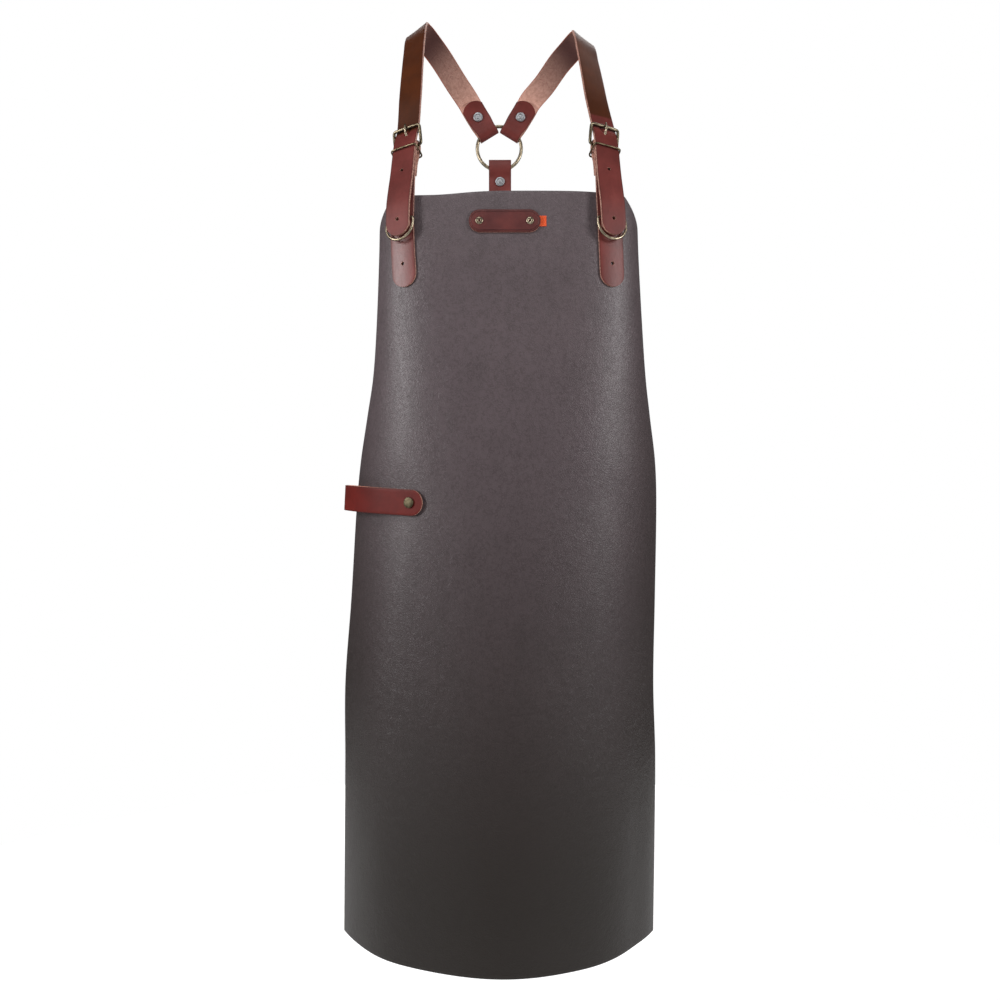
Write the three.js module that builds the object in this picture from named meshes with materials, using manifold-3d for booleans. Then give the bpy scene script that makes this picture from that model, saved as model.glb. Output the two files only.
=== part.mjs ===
// A full-length leather work apron as it hangs when worn: a curved bib-and-skirt panel, two buckled
// shoulder straps that cross down to a ring at the back, D-rings, a label and a towel loop.
// Millimetres, +Z up. The origin is midway between the shoulders, under the tops of the straps.
// The wearer faces -Y. "across" is a length along the panel from its middle line, + to +X.
import * as THREE from "three";
import { mergeVertices } from "three/addons/utils/BufferGeometryUtils.js";
import Module from "manifold-3d";

const wasm = await Module();
wasm.setup();

// Overall sizes.
const PANEL_LENGTH = 880;
const PANEL_SPAN = 384;
const PANEL_TOP_Z = -232;
const PANEL_FRONT_Y = -115;
const PANEL_THICK = 1.6;
const TOP_EDGE_HALF = 136;
const ARMHOLE_DROP = 34;
const TOP_EDGE_DIP = 4;
const SHOULDER_RISE = 237;
const SHOULDER_HALF = 103.5;
const RING_BACK = 100;
const WAIST_DROP = 218;

// Straps and tabs.
const STRAP_WIDTH = 30;
const STRAP_THICK = 2.8;
const TAB_DROP = 106;
const TAB_FOLD_LENGTH = 40;
const TIP_DROP = 50;
const HOLE_RADIUS = 2;
const HOLE_DROPS = { strap: [-26, 32], tab: 80 };
const BACK_TAB_LENGTH = 52;
const BACK_RIVET_FROM_FOLD = 30;

// Hardware.
const HINGE_RISE = 60;
const BUCKLE_REACH = 22;
const BUCKLE_WIRE = 1.75;
const PRONG_WIRE = 1.25;
const KEEPER_WIRE = 1;
const D_RING_WIRE = 1.5;
const D_RING_DROP = 30;
const D_RING_REACH = 25;
const D_RING_TILT = 9;
const LOOP_WIDTH = 24;
const LOOP_THICK = 1.4;
const RING_RADIUS = 29.75;
const RING_WIRE = 2.25;
const FOLD_WIDTH = RING_RADIUS - 2.75;
const BACK_FOLD_IN = 12;
const RIVET_CAP = 6.2;
const RIVET_HEIGHT = 2;
const RIVET_SHANK = 2;

// Label and towel loop.
const LABEL_LENGTH = 80;
const LABEL_HEIGHT = 25.7;
const LABEL_THICK = 2.5;
const LABEL_ACROSS = -5;
const LABEL_DROP = 35;
const LABEL_RIVET_SPACING = 56.5;
const LABEL_RIVET_CAP = 4.2;
const RIBBON_PROUD = 6.5;
const RIBBON_TUCK = 6;
const RIBBON_HEIGHT = 12;
const RIBBON_THICK = 1;
const TOWEL_DROP = 349;
const TOWEL_ACROSS = -112;
const TOWEL_WIDTH = 30;
const TOWEL_THICK = 2.2;
const TOWEL_RISE = 6;

// Clearances: GAP between touching pieces, SEAT between a strip and the curved panel under it.
const GAP = 0.3;
const SEAT = 0.4;
const INNER_SEAT = 0.5;
const CAP_SEAT = 0.8;
const LOOSE_SEAT = 0.8;
const FOLD_GAP = 0.5;
const SIDE_GAP = 0.75;

// Horizontal sections of the body shape, from above the bib to the hem. down: share of PANEL_LENGTH
// below the top edge; span: share of PANEL_SPAN; lean: how far back the middle line lies, as a share
// of PANEL_LENGTH; bend: degrees turned at the side edge; power: how late the bend comes; shift: how
// far the middle line lies to +X, as a share of PANEL_SPAN.
const SECTIONS = [
  { down: -0.14, span: 0.775, lean: 0.043, bend: 80, power: 2.1, shift: 0.026 },
  { down: -0.1, span: 0.775, lean: 0.027, bend: 82, power: 2.3, shift: 0.026 },
  { down: -0.04, span: 0.778, lean: 0.01, bend: 85, power: 2.9, shift: 0.026 },
  { down: 0, span: 0.782, lean: 0.004, bend: 86, power: 3.3, shift: 0.026 },
  { down: 0.07, span: 0.788, lean: 0, bend: 86, power: 3.3, shift: 0.027 },
  { down: 0.17, span: 0.815, lean: 0, bend: 81, power: 2.8, shift: 0.029 },
  { down: 0.23, span: 0.84, lean: 0, bend: 77, power: 2.4, shift: 0.029 },
  { down: 0.28, span: 0.878, lean: 0, bend: 73, power: 2.0, shift: 0.027 },
  { down: 0.34, span: 0.922, lean: 0, bend: 69, power: 1.7, shift: 0.025 },
  { down: 0.4, span: 0.948, lean: 0, bend: 66, power: 1.4, shift: 0.021 },
  { down: 0.53, span: 0.967, lean: 0, bend: 63, power: 1.2, shift: 0.01 },
  { down: 0.65, span: 0.99, lean: 0, bend: 62, power: 1.05, shift: -0.002 },
  { down: 0.76, span: 1, lean: 0, bend: 61.6, power: 1, shift: 0.001 },
  { down: 1, span: 0.997, lean: 0, bend: 61.6, power: 1, shift: -0.004 },
];

// The two sides differ a little. lane: where the chest tab runs, as lengths across from the middle
// line at the tab's end, the D-ring and the buckle; lift: height of the shoulder over the left one;
// flare: how far the strap leans out from the shoulder to the buckle.
const SIDES = [
  { name: "left", side: -1, laneEnd: 119, laneRing: 122, laneBuckle: 118, lift: 0, flare: 1 },
  { name: "right", side: 1, laneEnd: 117, laneRing: 114, laneBuckle: 110, lift: -10, flare: 12 },
];

// Free stretch of a shoulder strap, from the chest over the shoulder to the back. out: share of
// SHOULDER_HALF; back: share of RING_BACK; up: share of SHOULDER_RISE over the panel's top edge;
// lift and flare: how much of the side's own applies; the width runs along (1, yaw, roll).
const SHOULDER_KNOTS = [
  { out: 1.005, back: -0.66, up: 0.523, lift: 0.35, flare: 0.74, yaw: -0.55, roll: 0 },
  { out: 1.005, back: -0.46, up: 0.7, lift: 0.7, flare: 0.44, yaw: -0.6, roll: 0.06 },
  { out: 1.003, back: -0.28, up: 0.844, lift: 0.9, flare: 0.2, yaw: -0.52, roll: 0.3 },
  { out: 0.998, back: -0.13, up: 0.95, lift: 1, flare: 0.07, yaw: -0.36, roll: 0.52 },
  { out: 0.985, back: 0, up: 1, lift: 1, flare: 0, yaw: -0.18, roll: 0.66 },
  { out: 0.94, back: 0.13, up: 1.008, lift: 1, flare: 0, yaw: 0, roll: 0.7 },
  { out: 0.86, back: 0.28, up: 0.99, lift: 0.9, flare: 0, yaw: 0.1, roll: 0.72 },
  { out: 0.735, back: 0.5, up: 0.952, lift: 0.6, flare: 0, yaw: 0.1, roll: 0.74 },
  { out: 0.565, back: 0.76, up: 0.876, lift: 0.3, flare: 0, yaw: 0.04, roll: 0.68 },
];

// Back ends of the shoulder straps at the ring: their direction from level, and how far they lie
// to the outer side of the ring's middle.
const RING_CENTRE = new THREE.Vector3(-1, RING_BACK, PANEL_TOP_Z + 130);
const BACK_ANGLE = 121.5;
const BACK_OFFSET = 3;

const rad = THREE.MathUtils.degToRad;
const vec = (x, y, z) => new THREE.Vector3(x, y, z);

// A value from a table of rows, read smoothly at a place between them.
function readTable(rows, key, at, column) {
  const last = rows.length - 1;
  let i = 0;
  while (i < last - 1 && rows[i + 1][key] < at) i += 1;
  const slope = (k) => {
    const a = rows[Math.max(k - 1, 0)];
    const b = rows[Math.min(k + 1, last)];
    return (b[column] - a[column]) / (b[key] - a[key]);
  };
  const width = rows[i + 1][key] - rows[i][key];
  const t = THREE.MathUtils.clamp((at - rows[i][key]) / width, 0, 1);
  const [t2, t3] = [t * t, t * t * t];
  return (
    (2 * t3 - 3 * t2 + 1) * rows[i][column] +
    (t3 - 2 * t2 + t) * width * slope(i) +
    (3 * t2 - 2 * t3) * rows[i + 1][column] +
    (t3 - t2) * width * slope(i + 1)
  );
}

// The reach sideways and back of a curve whose heading turns by bend * t^power, per unit length.
function reach(bend, power, share) {
  const steps = 24;
  let [sideways, back] = [0, 0];
  for (let i = 0; i <= steps; i += 1) {
    const weight = i === 0 || i === steps ? 1 : i % 2 ? 4 : 2;
    const heading = bend * ((share * i) / steps) ** power;
    sideways += (weight * Math.cos(heading) * share) / steps / 3;
    back += (weight * Math.sin(heading) * share) / steps / 3;
  }
  return { sideways, back };
}

function sectionAt(z) {
  const down = (PANEL_TOP_Z - z) / PANEL_LENGTH;
  const read = (column) => readTable(SECTIONS, "down", down, column);
  const bend = rad(read("bend"));
  const power = read("power");
  return {
    bend,
    power,
    halfFlat: (read("span") * PANEL_SPAN) / 2 / reach(bend, power, 1).sideways,
    shift: read("shift") * PANEL_SPAN,
    frontY: PANEL_FRONT_Y + read("lean") * PANEL_LENGTH,
  };
}

// A point of the panel's outer face, with the direction across it and its outward normal.
function onPanel(across, z) {
  const section = sectionAt(z);
  const share = Math.abs(across) / section.halfFlat;
  const sign = Math.sign(across) || 1;
  const gone = reach(section.bend, section.power, share);
  const heading = sign * section.bend * share ** section.power;
  const point = vec(
    section.shift + sign * gone.sideways * section.halfFlat,
    section.frontY + gone.back * section.halfFlat,
    z,
  );
  const over = vec(Math.cos(heading), Math.sin(heading), 0);
  const normal = vec(Math.sin(heading), -Math.cos(heading), 0);
  const curve = (section.bend * section.power * share ** (section.power - 1)) / section.halfFlat;
  return { point, over, normal, curve };
}

function lift(place, height) {
  return place.point.clone().addScaledVector(place.normal, height);
}

// Closed geometry to a manifold solid, turned to face outwards, and back to a geometry.
function solid(geometry) {
  for (const name of ["normal", "uv"]) geometry.deleteAttribute(name);
  const merged = mergeVertices(geometry, 1e-3);
  const triVerts = new Uint32Array(merged.index.array);
  const build = () =>
    new wasm.Manifold(
      new wasm.Mesh({ numProp: 3, vertProperties: merged.attributes.position.array, triVerts }),
    );
  const made = build();
  if (made.volume() > 0) return made;
  for (let i = 0; i < triVerts.length; i += 3) {
    [triVerts[i + 1], triVerts[i + 2]] = [triVerts[i + 2], triVerts[i + 1]];
  }
  return build();
}

function geometryOf(body) {
  const mesh = body.getMesh();
  const geometry = new THREE.BufferGeometry();
  geometry.setAttribute("position", new THREE.BufferAttribute(mesh.vertProperties, 3));
  geometry.setIndex(new THREE.BufferAttribute(mesh.triVerts, 1));
  geometry.computeVertexNormals();
  return geometry;
}

// A slab whose box coordinates, each from -0.5 to 0.5, are mapped to places in space.
function slab(across, along, place) {
  const box = new THREE.BoxGeometry(1, 1, 1, across, 1, along);
  const at = box.attributes.position;
  for (let i = 0; i < at.count; i += 1) {
    const p = place(at.getX(i), at.getY(i), at.getZ(i));
    at.setXYZ(i, p.x, p.y, p.z);
  }
  return solid(box);
}

// Stations along a strip: lengths at which it is cut, with its half width there, round at each end.
// Between its ends it is cut at the places given.
function outline(length, halfWidth, startRadius, endRadius, cuts) {
  const rows = [];
  const capSteps = 4;
  const cap = (radius) => {
    const full = Math.asin(Math.min(1, halfWidth / radius));
    const made = [];
    for (let i = 0; i <= capSteps; i += 1) {
      const angle = 0.12 + ((full - 0.12) * i) / capSteps;
      made.push({ from: radius * (1 - Math.cos(angle)), half: radius * Math.sin(angle) });
    }
    return made;
  };
  const first = startRadius ? cap(startRadius) : [{ from: 0, half: halfWidth }];
  const last = endRadius ? cap(endRadius) : [{ from: 0, half: halfWidth }];
  for (const row of first) rows.push({ at: row.from, half: row.half });
  const start = rows[rows.length - 1].at;
  const end = length - last[last.length - 1].from;
  for (const at of cuts) if (at > start + 1 && at < end - 1) rows.push({ at, half: halfWidth });
  for (const row of last.reverse()) rows.push({ at: length - row.from, half: row.half });
  return rows;
}

// Lengths along a curve at its knots, and wherever a straight chord from the last cut would miss it
// by SAG, or it has turned by TURN or gone one step since then.
const SAG = 0.12;
const TURN = rad(32);
const DIVISIONS = 20;

function cutsAlong(curve, length, step) {
  const knots = curve.getLengths().filter((at, i) => i % DIVISIONS === 0);
  const cuts = [];
  const fine = Math.ceil(length / 0.4);
  let next = 1;
  let [last, lastAt, turned] = [curve.getTangentAt(0), 0, 0];
  for (let i = 1; i < fine; i += 1) {
    const tangent = curve.getTangentAt(i / fine);
    turned += last.angleTo(tangent);
    last = tangent;
    const at = (length * i) / fine;
    const miss = (turned * (at - lastAt)) / 8;
    const passed = at >= knots[next];
    if (passed) next += 1;
    if (!passed && turned < TURN && miss < SAG && at - lastAt < step) continue;
    if (at - lastAt < 0.9) continue;
    cuts.push(at);
    [lastAt, turned] = [at, 0];
  }
  return cuts;
}

// A strip of leather through knots { point, over, curve, scale }: over is the direction of its width,
// curve its roundness across the width, scale its width as a share of the full one.
function strip(knots, width, thick, options) {
  const curve = new THREE.CatmullRomCurve3(
    knots.map((knot) => knot.point),
    false,
    "centripetal",
  );
  curve.arcLengthDivisions = (knots.length - 1) * DIVISIONS;
  const length = curve.getLength();
  const cuts = cutsAlong(curve, length, options.step);
  const rows = outline(length, width / 2, options.start, options.end, cuts);
  const frames = rows.map((row) => {
    const t = curve.getUtoTmapping(row.at / length);
    const place = Math.min(t * (knots.length - 1), knots.length - 1.000001);
    const [k, part] = [Math.floor(place), place - Math.floor(place)];
    const mix = (name, otherwise) =>
      (knots[k][name] ?? otherwise) * (1 - part) + (knots[k + 1][name] ?? otherwise) * part;
    const point = curve.getPoint(t);
    const along = curve.getTangent(t);
    const over = knots[k].over.clone().lerp(knots[k + 1].over, part);
    over.addScaledVector(along, -over.dot(along)).normalize();
    const normal = over.clone().cross(along);
    return { point, over, normal, curve: mix("curve", 0), half: row.half * mix("scale", 1) };
  });
  return slab(options.across ?? 1, rows.length - 1, (u, h, v) => {
    const frame = frames[Math.round((v + 0.5) * (rows.length - 1))];
    const side = 2 * u * frame.half;
    const bow = (-frame.curve * side * side) / 2;
    return frame.point
      .clone()
      .addScaledVector(frame.over, side)
      .addScaledVector(frame.normal, h * thick + bow);
  });
}

// A closed wire along a flat closed outline of 2-D points, in a frame { origin, x, y }.
function closedWire(points, radius, frame, steps, sides) {
  const curve = new THREE.CatmullRomCurve3(
    points.map(([a, b]) => vec(a, b, 0)),
    true,
    "centripetal",
  );
  curve.arcLengthDivisions = 400;
  const torus = new THREE.TorusGeometry(1, 0.1, sides, steps);
  const at = torus.attributes.position;
  const up = frame.x.clone().cross(frame.y);
  for (let i = 0; i < at.count; i += 1) {
    const u = torus.attributes.uv.getX(i) % 1;
    const around = torus.attributes.uv.getY(i) * 2 * Math.PI;
    const p = curve.getPointAt(u);
    const t = curve.getTangentAt(u);
    const out = radius * Math.cos(around);
    const place = frame.origin
      .clone()
      .addScaledVector(frame.x, p.x + t.y * out)
      .addScaledVector(frame.y, p.y - t.x * out)
      .addScaledVector(up, radius * Math.sin(around));
    at.setXYZ(i, place.x, place.y, place.z);
  }
  return solid(torus);
}

// Points of an arc about a centre, in degrees from one angle to another.
function arc(centreX, centreY, radius, from, to, count) {
  const points = [];
  for (let i = 0; i <= count; i += 1) {
    const angle = rad(from + ((to - from) * i) / count);
    points.push([centreX + radius * Math.cos(angle), centreY + radius * Math.sin(angle)]);
  }
  return points;
}

// A rounded rectangle of wire, as points, centred on the origin.
function roundedFrame(halfX, halfY, corner) {
  const [x, y] = [halfX - corner, halfY - corner];
  return [
    ...arc(x, y, corner, 0, 90, 4),
    ...arc(-x, y, corner, 90, 180, 4),
    ...arc(-x, -y, corner, 180, 270, 4),
    ...arc(x, -y, corner, 270, 360, 4),
  ];
}

// A rod through 3-D points, with flat ends.
function rod(points, radius, steps, sides) {
  const section = new THREE.Shape(
    arc(0, 0, radius, 0, 360 - 360 / sides, sides - 1).map(([x, y]) => new THREE.Vector2(x, y)),
  );
  const path = new THREE.CatmullRomCurve3(points, false, "centripetal");
  return solid(new THREE.ExtrudeGeometry(section, { steps, bevelEnabled: false, extrudePath: path }));
}

// A turned piece about an axis through a point; the profile is [radius, height] pairs.
function turned(profile, origin, axis, segments = 12) {
  const geometry = new THREE.LatheGeometry(
    profile.map(([r, y]) => new THREE.Vector2(r, y)),
    segments,
    0.2,
  );
  const turn = new THREE.Quaternion().setFromUnitVectors(vec(0, 1, 0), axis);
  geometry.applyQuaternion(turn).translate(origin.x, origin.y, origin.z);
  return solid(geometry);
}

// A hole along an axis, wide enough for a shank of the given radius.
function drill(origin, axis, radius, depth) {
  return turned([[0, -depth], [radius, -depth], [radius, depth], [0, depth]], origin, axis, 12);
}

// A domed rivet: its caps lie at low and high along the axis, outside what it holds.
function rivet(origin, axis, low, high, cap = RIVET_CAP, height = RIVET_HEIGHT) {
  const edge = height * 0.35;
  const profile = [
    [0, low - height],
    [cap * 0.62, low - height * 0.9],
    [cap, low - edge],
    [cap, low],
    [RIVET_SHANK, low],
    [RIVET_SHANK, high],
    [cap, high],
    [cap, high + edge],
    [cap * 0.62, high + height * 0.9],
    [0, high + height],
  ];
  return turned(profile, origin, axis);
}

const LEATHER = { color: 0x7b3a36, roughness: 0.5, metalness: 0 };
const FINISHES = {
  panel: { color: 0x564a48, roughness: 0.55, metalness: 0 },
  leather: LEATHER,
  brass: { color: 0x8d7850, roughness: 0.35, metalness: 1 },
  nickel: { color: 0x9a958c, roughness: 0.35, metalness: 1 },
  ribbon: { color: 0xf2591c, roughness: 0.8, metalness: 0 },
};
const apron = new THREE.Group();

function add(name, body, finish) {
  const mesh = new THREE.Mesh(geometryOf(body), new THREE.MeshStandardMaterial(FINISHES[finish]));
  mesh.name = name;
  apron.add(mesh);
}

// The panel: one cut of leather, straight at the top, cut away at the arms and straight at the hem.
function panelSolid() {
  const rows = 26;
  const columns = 30;
  return slab(columns, rows, (u, h, v) => {
    const down = PANEL_LENGTH * (0.35 * (v + 0.5) + 0.65 * (v + 0.5) ** 2);
    const full = sectionAt(PANEL_TOP_Z - down).halfFlat;
    const cut = Math.min(1, down / ARMHOLE_DROP);
    const across = 2 * u * (TOP_EDGE_HALF + (full - TOP_EDGE_HALF) * cut);
    const wave = Math.exp(-(((across / TOP_EDGE_HALF + 0.6) / 0.3) ** 2)) * Math.exp(-down / 60);
    const place = onPanel(across, PANEL_TOP_Z - down - TOP_EDGE_DIP * wave);
    return lift(place, (h - 0.5) * PANEL_THICK);
  });
}
let panel = panelSolid();

// The lane that a side's chest tab and strap follow, over the panel and above it.
function laneAt(row, z, height) {
  const rows = [
    { down: -HINGE_RISE - BUCKLE_REACH, across: row.laneBuckle },
    { down: D_RING_DROP, across: row.laneRing },
    { down: TAB_DROP, across: row.laneEnd },
  ];
  const across = row.side * readTable(rows, "down", PANEL_TOP_Z - z, "across");
  const place = onPanel(across, z);
  const free = THREE.MathUtils.smoothstep(z, PANEL_TOP_Z, PANEL_TOP_Z + 25);
  return { point: lift(place, height), over: place.over, curve: place.curve * (1 - free) };
}

// A flat frame on the lane: over across it, up along it, out away from the wearer.
function laneFrame(row, z) {
  const here = laneAt(row, z, 0);
  const up = laneAt(row, z + 4, 0).point.sub(laneAt(row, z - 4, 0).point).normalize();
  const over = here.over.clone();
  over.addScaledVector(up, -over.dot(up)).normalize();
  return { origin: here.point, over, up, out: over.clone().cross(up) };
}

function inFrame(frame, over, up, out) {
  return frame.origin
    .clone()
    .addScaledVector(frame.over, over)
    .addScaledVector(frame.up, up)
    .addScaledVector(frame.out, out);
}

// Heights over the panel's face, from the panel outwards.
const TAB_HEIGHT = SEAT + STRAP_THICK / 2;
const TAB_FACE = SEAT + STRAP_THICK;
const STRAP_HEIGHT = TAB_FACE + LOOSE_SEAT + STRAP_THICK / 2;
const BAR_HEIGHT = TAB_FACE + GAP + D_RING_WIRE;
const LOOP_ARC = D_RING_WIRE + GAP + LOOP_THICK / 2;
const TIP_HEIGHT = BAR_HEIGHT + LOOP_ARC + LOOP_THICK / 2 + GAP + STRAP_THICK / 2;
const HINGE_ARC = BUCKLE_WIRE + GAP + STRAP_THICK / 2;
const HINGE_HEIGHT = TAB_HEIGHT - HINGE_ARC;
const TOP_BAR_STRAP = 2.6;
const TOP_BAR_HEIGHT = TOP_BAR_STRAP + STRAP_THICK / 2 + GAP + BUCKLE_WIRE;
const HINGE_Z = PANEL_TOP_Z + HINGE_RISE;
const D_RING_Z = PANEL_TOP_Z - D_RING_DROP;
const WIRE_HALF = STRAP_WIDTH / 2 + SIDE_GAP;
const FRAME_CORNER = 3;
const RING_CORNER = 2.5;
const PRONG_EYE = BUCKLE_WIRE + FOLD_GAP + PRONG_WIRE;
const PRONG_SLOT = { width: 7, length: 16, depth: 14, back: 1, down: 0.5 };
const FOLD_NARROWS = 0.93;

// The chest tab: up the panel, round the buckle's hinge bar, and a short way down behind itself.
function chestTab(row) {
  const knots = [];
  for (let down = TAB_DROP; down > -HINGE_RISE + 12; down -= 12) {
    knots.push(laneAt(row, PANEL_TOP_Z - down, TAB_HEIGHT));
  }
  const frame = laneFrame(row, HINGE_Z);
  for (const angle of [0, 45, 90, 135, 180]) {
    const [up, out] = [Math.sin(rad(angle)), Math.cos(rad(angle))].map((s) => s * HINGE_ARC);
    knots.push({ point: inFrame(frame, 0, up, HINGE_HEIGHT + out), over: frame.over, scale: FOLD_NARROWS });
  }
  const behind = TAB_HEIGHT - STRAP_THICK - GAP;
  knots.push({ point: inFrame(frame, 0, -7, HINGE_HEIGHT - HINGE_ARC + 0.6), over: frame.over });
  for (const [share, part] of [[0.45, 0.75], [0.62, 1], [1, 1]]) {
    const height = HINGE_HEIGHT - HINGE_ARC + (behind - HINGE_HEIGHT + HINGE_ARC) * part;
    knots.push(laneAt(row, HINGE_Z - TAB_FOLD_LENGTH * share, height));
  }
  const round = STRAP_WIDTH / 2;
  let body = strip(knots, STRAP_WIDTH, STRAP_THICK, { start: round, end: 0, step: 9, across: 3 });
  const { width, length, depth, back, down } = PRONG_SLOT;
  const slot = slab(1, 1, (u, h, v) => {
    return inFrame(frame, u * width, v * length - down, h * depth - back);
  });
  body = body.subtract(slot);
  const hole = laneFrame(row, PANEL_TOP_Z - HOLE_DROPS.tab);
  return body.subtract(drill(hole.origin, hole.out, HOLE_RADIUS, 8));
}

// The buckle's frame: a wire rectangle from the hinge bar, under the strap, to the bar over it.
function buckleFrame(row) {
  const frame = laneFrame(row, HINGE_Z);
  const low = inFrame(frame, 0, 0, HINGE_HEIGHT);
  const high = inFrame(frame, 0, BUCKLE_REACH, TOP_BAR_HEIGHT);
  const y = high.clone().sub(low);
  const reachUp = y.length();
  const origin = low.clone().add(high).multiplyScalar(0.5);
  const points = roundedFrame(WIRE_HALF + BUCKLE_WIRE, reachUp / 2, FRAME_CORNER);
  return closedWire(points, BUCKLE_WIRE, { origin, x: frame.over, y: y.normalize() }, 36, 6);
}

// The prong: an eye round the hinge bar and a bent pin up through the strap and over the top bar.
// Its bends: share of the buckle's reach, share of the rise from the eye to over the top bar.
const PRONG_BENDS = [
  [0.3, 0],
  [0.48, 0.17],
  [0.66, 0.6],
  [0.84, 0.965],
  [1, 1],
  [1.2, 0.93],
];

function prongPath(row) {
  const frame = laneFrame(row, HINGE_Z);
  const low = HINGE_HEIGHT + PRONG_EYE;
  const rise = TOP_BAR_HEIGHT + BUCKLE_WIRE + GAP + PRONG_WIRE - low;
  const turn = PRONG_EYE * Math.SQRT1_2;
  const start = inFrame(frame, 0, turn, HINGE_HEIGHT + turn);
  return [start, ...PRONG_BENDS.map(([along, up]) => {
    return inFrame(frame, 0, BUCKLE_REACH * along, low + rise * up);
  })];
}

function buckleProng(row) {
  const frame = laneFrame(row, HINGE_Z);
  const eye = closedWire(
    arc(0, 0, PRONG_EYE, 0, 330, 11),
    PRONG_WIRE,
    { origin: inFrame(frame, 0, 0, HINGE_HEIGHT), x: frame.up, y: frame.out },
    12,
    6,
  );
  return eye.add(rod(prongPath(row), PRONG_WIRE, 14, 6));
}

// The wire keeper round the strap and the tab, leaning so that its back lies lower.
const KEEPER_DROP = { front: 7, back: 13 };

function keeper(row) {
  const frame = laneFrame(row, HINGE_Z);
  const front = STRAP_HEIGHT + STRAP_THICK / 2 + 2 * GAP + KEEPER_WIRE;
  const behind = HINGE_HEIGHT - HINGE_ARC - STRAP_THICK / 2 - GAP - KEEPER_WIRE;
  const high = inFrame(frame, 0, -KEEPER_DROP.front, front);
  const low = inFrame(frame, 0, -KEEPER_DROP.back, behind);
  const y = high.clone().sub(low);
  const half = y.length() / 2;
  const origin = low.clone().add(high).multiplyScalar(0.5);
  const points = roundedFrame(WIRE_HALF + KEEPER_WIRE, half, FRAME_CORNER);
  return closedWire(points, KEEPER_WIRE, { origin, x: frame.over, y: y.normalize() }, 32, 6);
}

// The D-ring: a straight bar in its leather loop and a half round below it, in front of the tab.
function dRing(row) {
  const frame = laneFrame(row, D_RING_Z);
  const half = WIRE_HALF + D_RING_WIRE;
  const corner = RING_CORNER;
  const centreDown = -(D_RING_REACH - half);
  const points = [
    ...arc(0, centreDown, half, 180, 360, 14),
    ...arc(half - corner, -corner, corner, 0, 90, 3),
    [half * 0.5, 0],
    [0, 0],
    [-half * 0.5, 0],
    ...arc(-half + corner, -corner, corner, 90, 180, 3),
  ];
  const tilt = rad(D_RING_TILT);
  const y = frame.up.clone().multiplyScalar(Math.cos(tilt)).addScaledVector(frame.out, -Math.sin(tilt));
  const origin = inFrame(frame, 0, 0, BAR_HEIGHT);
  return closedWire(points, D_RING_WIRE, { origin, x: frame.over, y }, 40, 6);
}

// The small loop that holds the D-ring's bar on the tab, flat above and below it.
function dRingLoop(row) {
  const frame = laneFrame(row, D_RING_Z);
  const flat = TAB_FACE + GAP + LOOP_THICK / 2;
  const rise = [];
  for (const angle of [165, 135, 90, 45, 15]) {
    rise.push([LOOP_ARC * Math.cos(rad(angle)), BAR_HEIGHT + LOOP_ARC * Math.sin(rad(angle))]);
  }
  const path = [[-10, flat], [-5.5, flat], ...rise, [5.5, flat], [12, flat], [24, flat]];
  const knots = path.map(([up, out]) => ({ point: inFrame(frame, 0, up, out), over: frame.over }));
  return strip(knots, LOOP_WIDTH, LOOP_THICK, { start: 0, end: 0, step: 9 });
}

const TAB_RIVET_UP = 16;

function tabRivet(row) {
  const frame = laneFrame(row, D_RING_Z + TAB_RIVET_UP);
  const high = TAB_FACE + GAP + LOOP_THICK + INNER_SEAT;
  const low = -PANEL_THICK - CAP_SEAT;
  return { frame, body: rivet(frame.origin, frame.out, low, high, 5, 1.2) };
}

// Places of a shoulder strap's folded end, by length from the ring's middle and by depth.
function backEnd(row, along, depth, scale) {
  const angle = rad(row.side < 0 ? BACK_ANGLE : 180 - BACK_ANGLE);
  const away = vec(Math.cos(angle), 0, Math.sin(angle));
  const over = vec(Math.sin(angle), 0, -Math.cos(angle));
  const point = RING_CENTRE.clone()
    .addScaledVector(away, along)
    .addScaledVector(over, row.side * BACK_OFFSET)
    .add(vec(0, depth, 0));
  return { point, over, scale };
}

// How deep a strap's fold reaches into the ring: its wire stays inside the fold over all its width.
const FOLD_ARC = RING_WIRE + FOLD_GAP + STRAP_THICK / 2;
const INNER_REACH = Math.sqrt((RING_RADIUS - RING_WIRE) ** 2 - (FOLD_WIDTH / 2 + BACK_OFFSET) ** 2);
const FOLD_START = INNER_REACH - FOLD_GAP - STRAP_THICK / 2 + FOLD_ARC;
const FOLD_END = FOLD_START - FOLD_ARC;
const LEGS_APART = STRAP_THICK / 2 + GAP;
const BACK_RIVET_AT = FOLD_END + BACK_RIVET_FROM_FOLD;
const RING_OUTSIDE = RING_RADIUS + RING_WIRE;
const LEG_FLAT = RIVET_CAP + 0.8;

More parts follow.
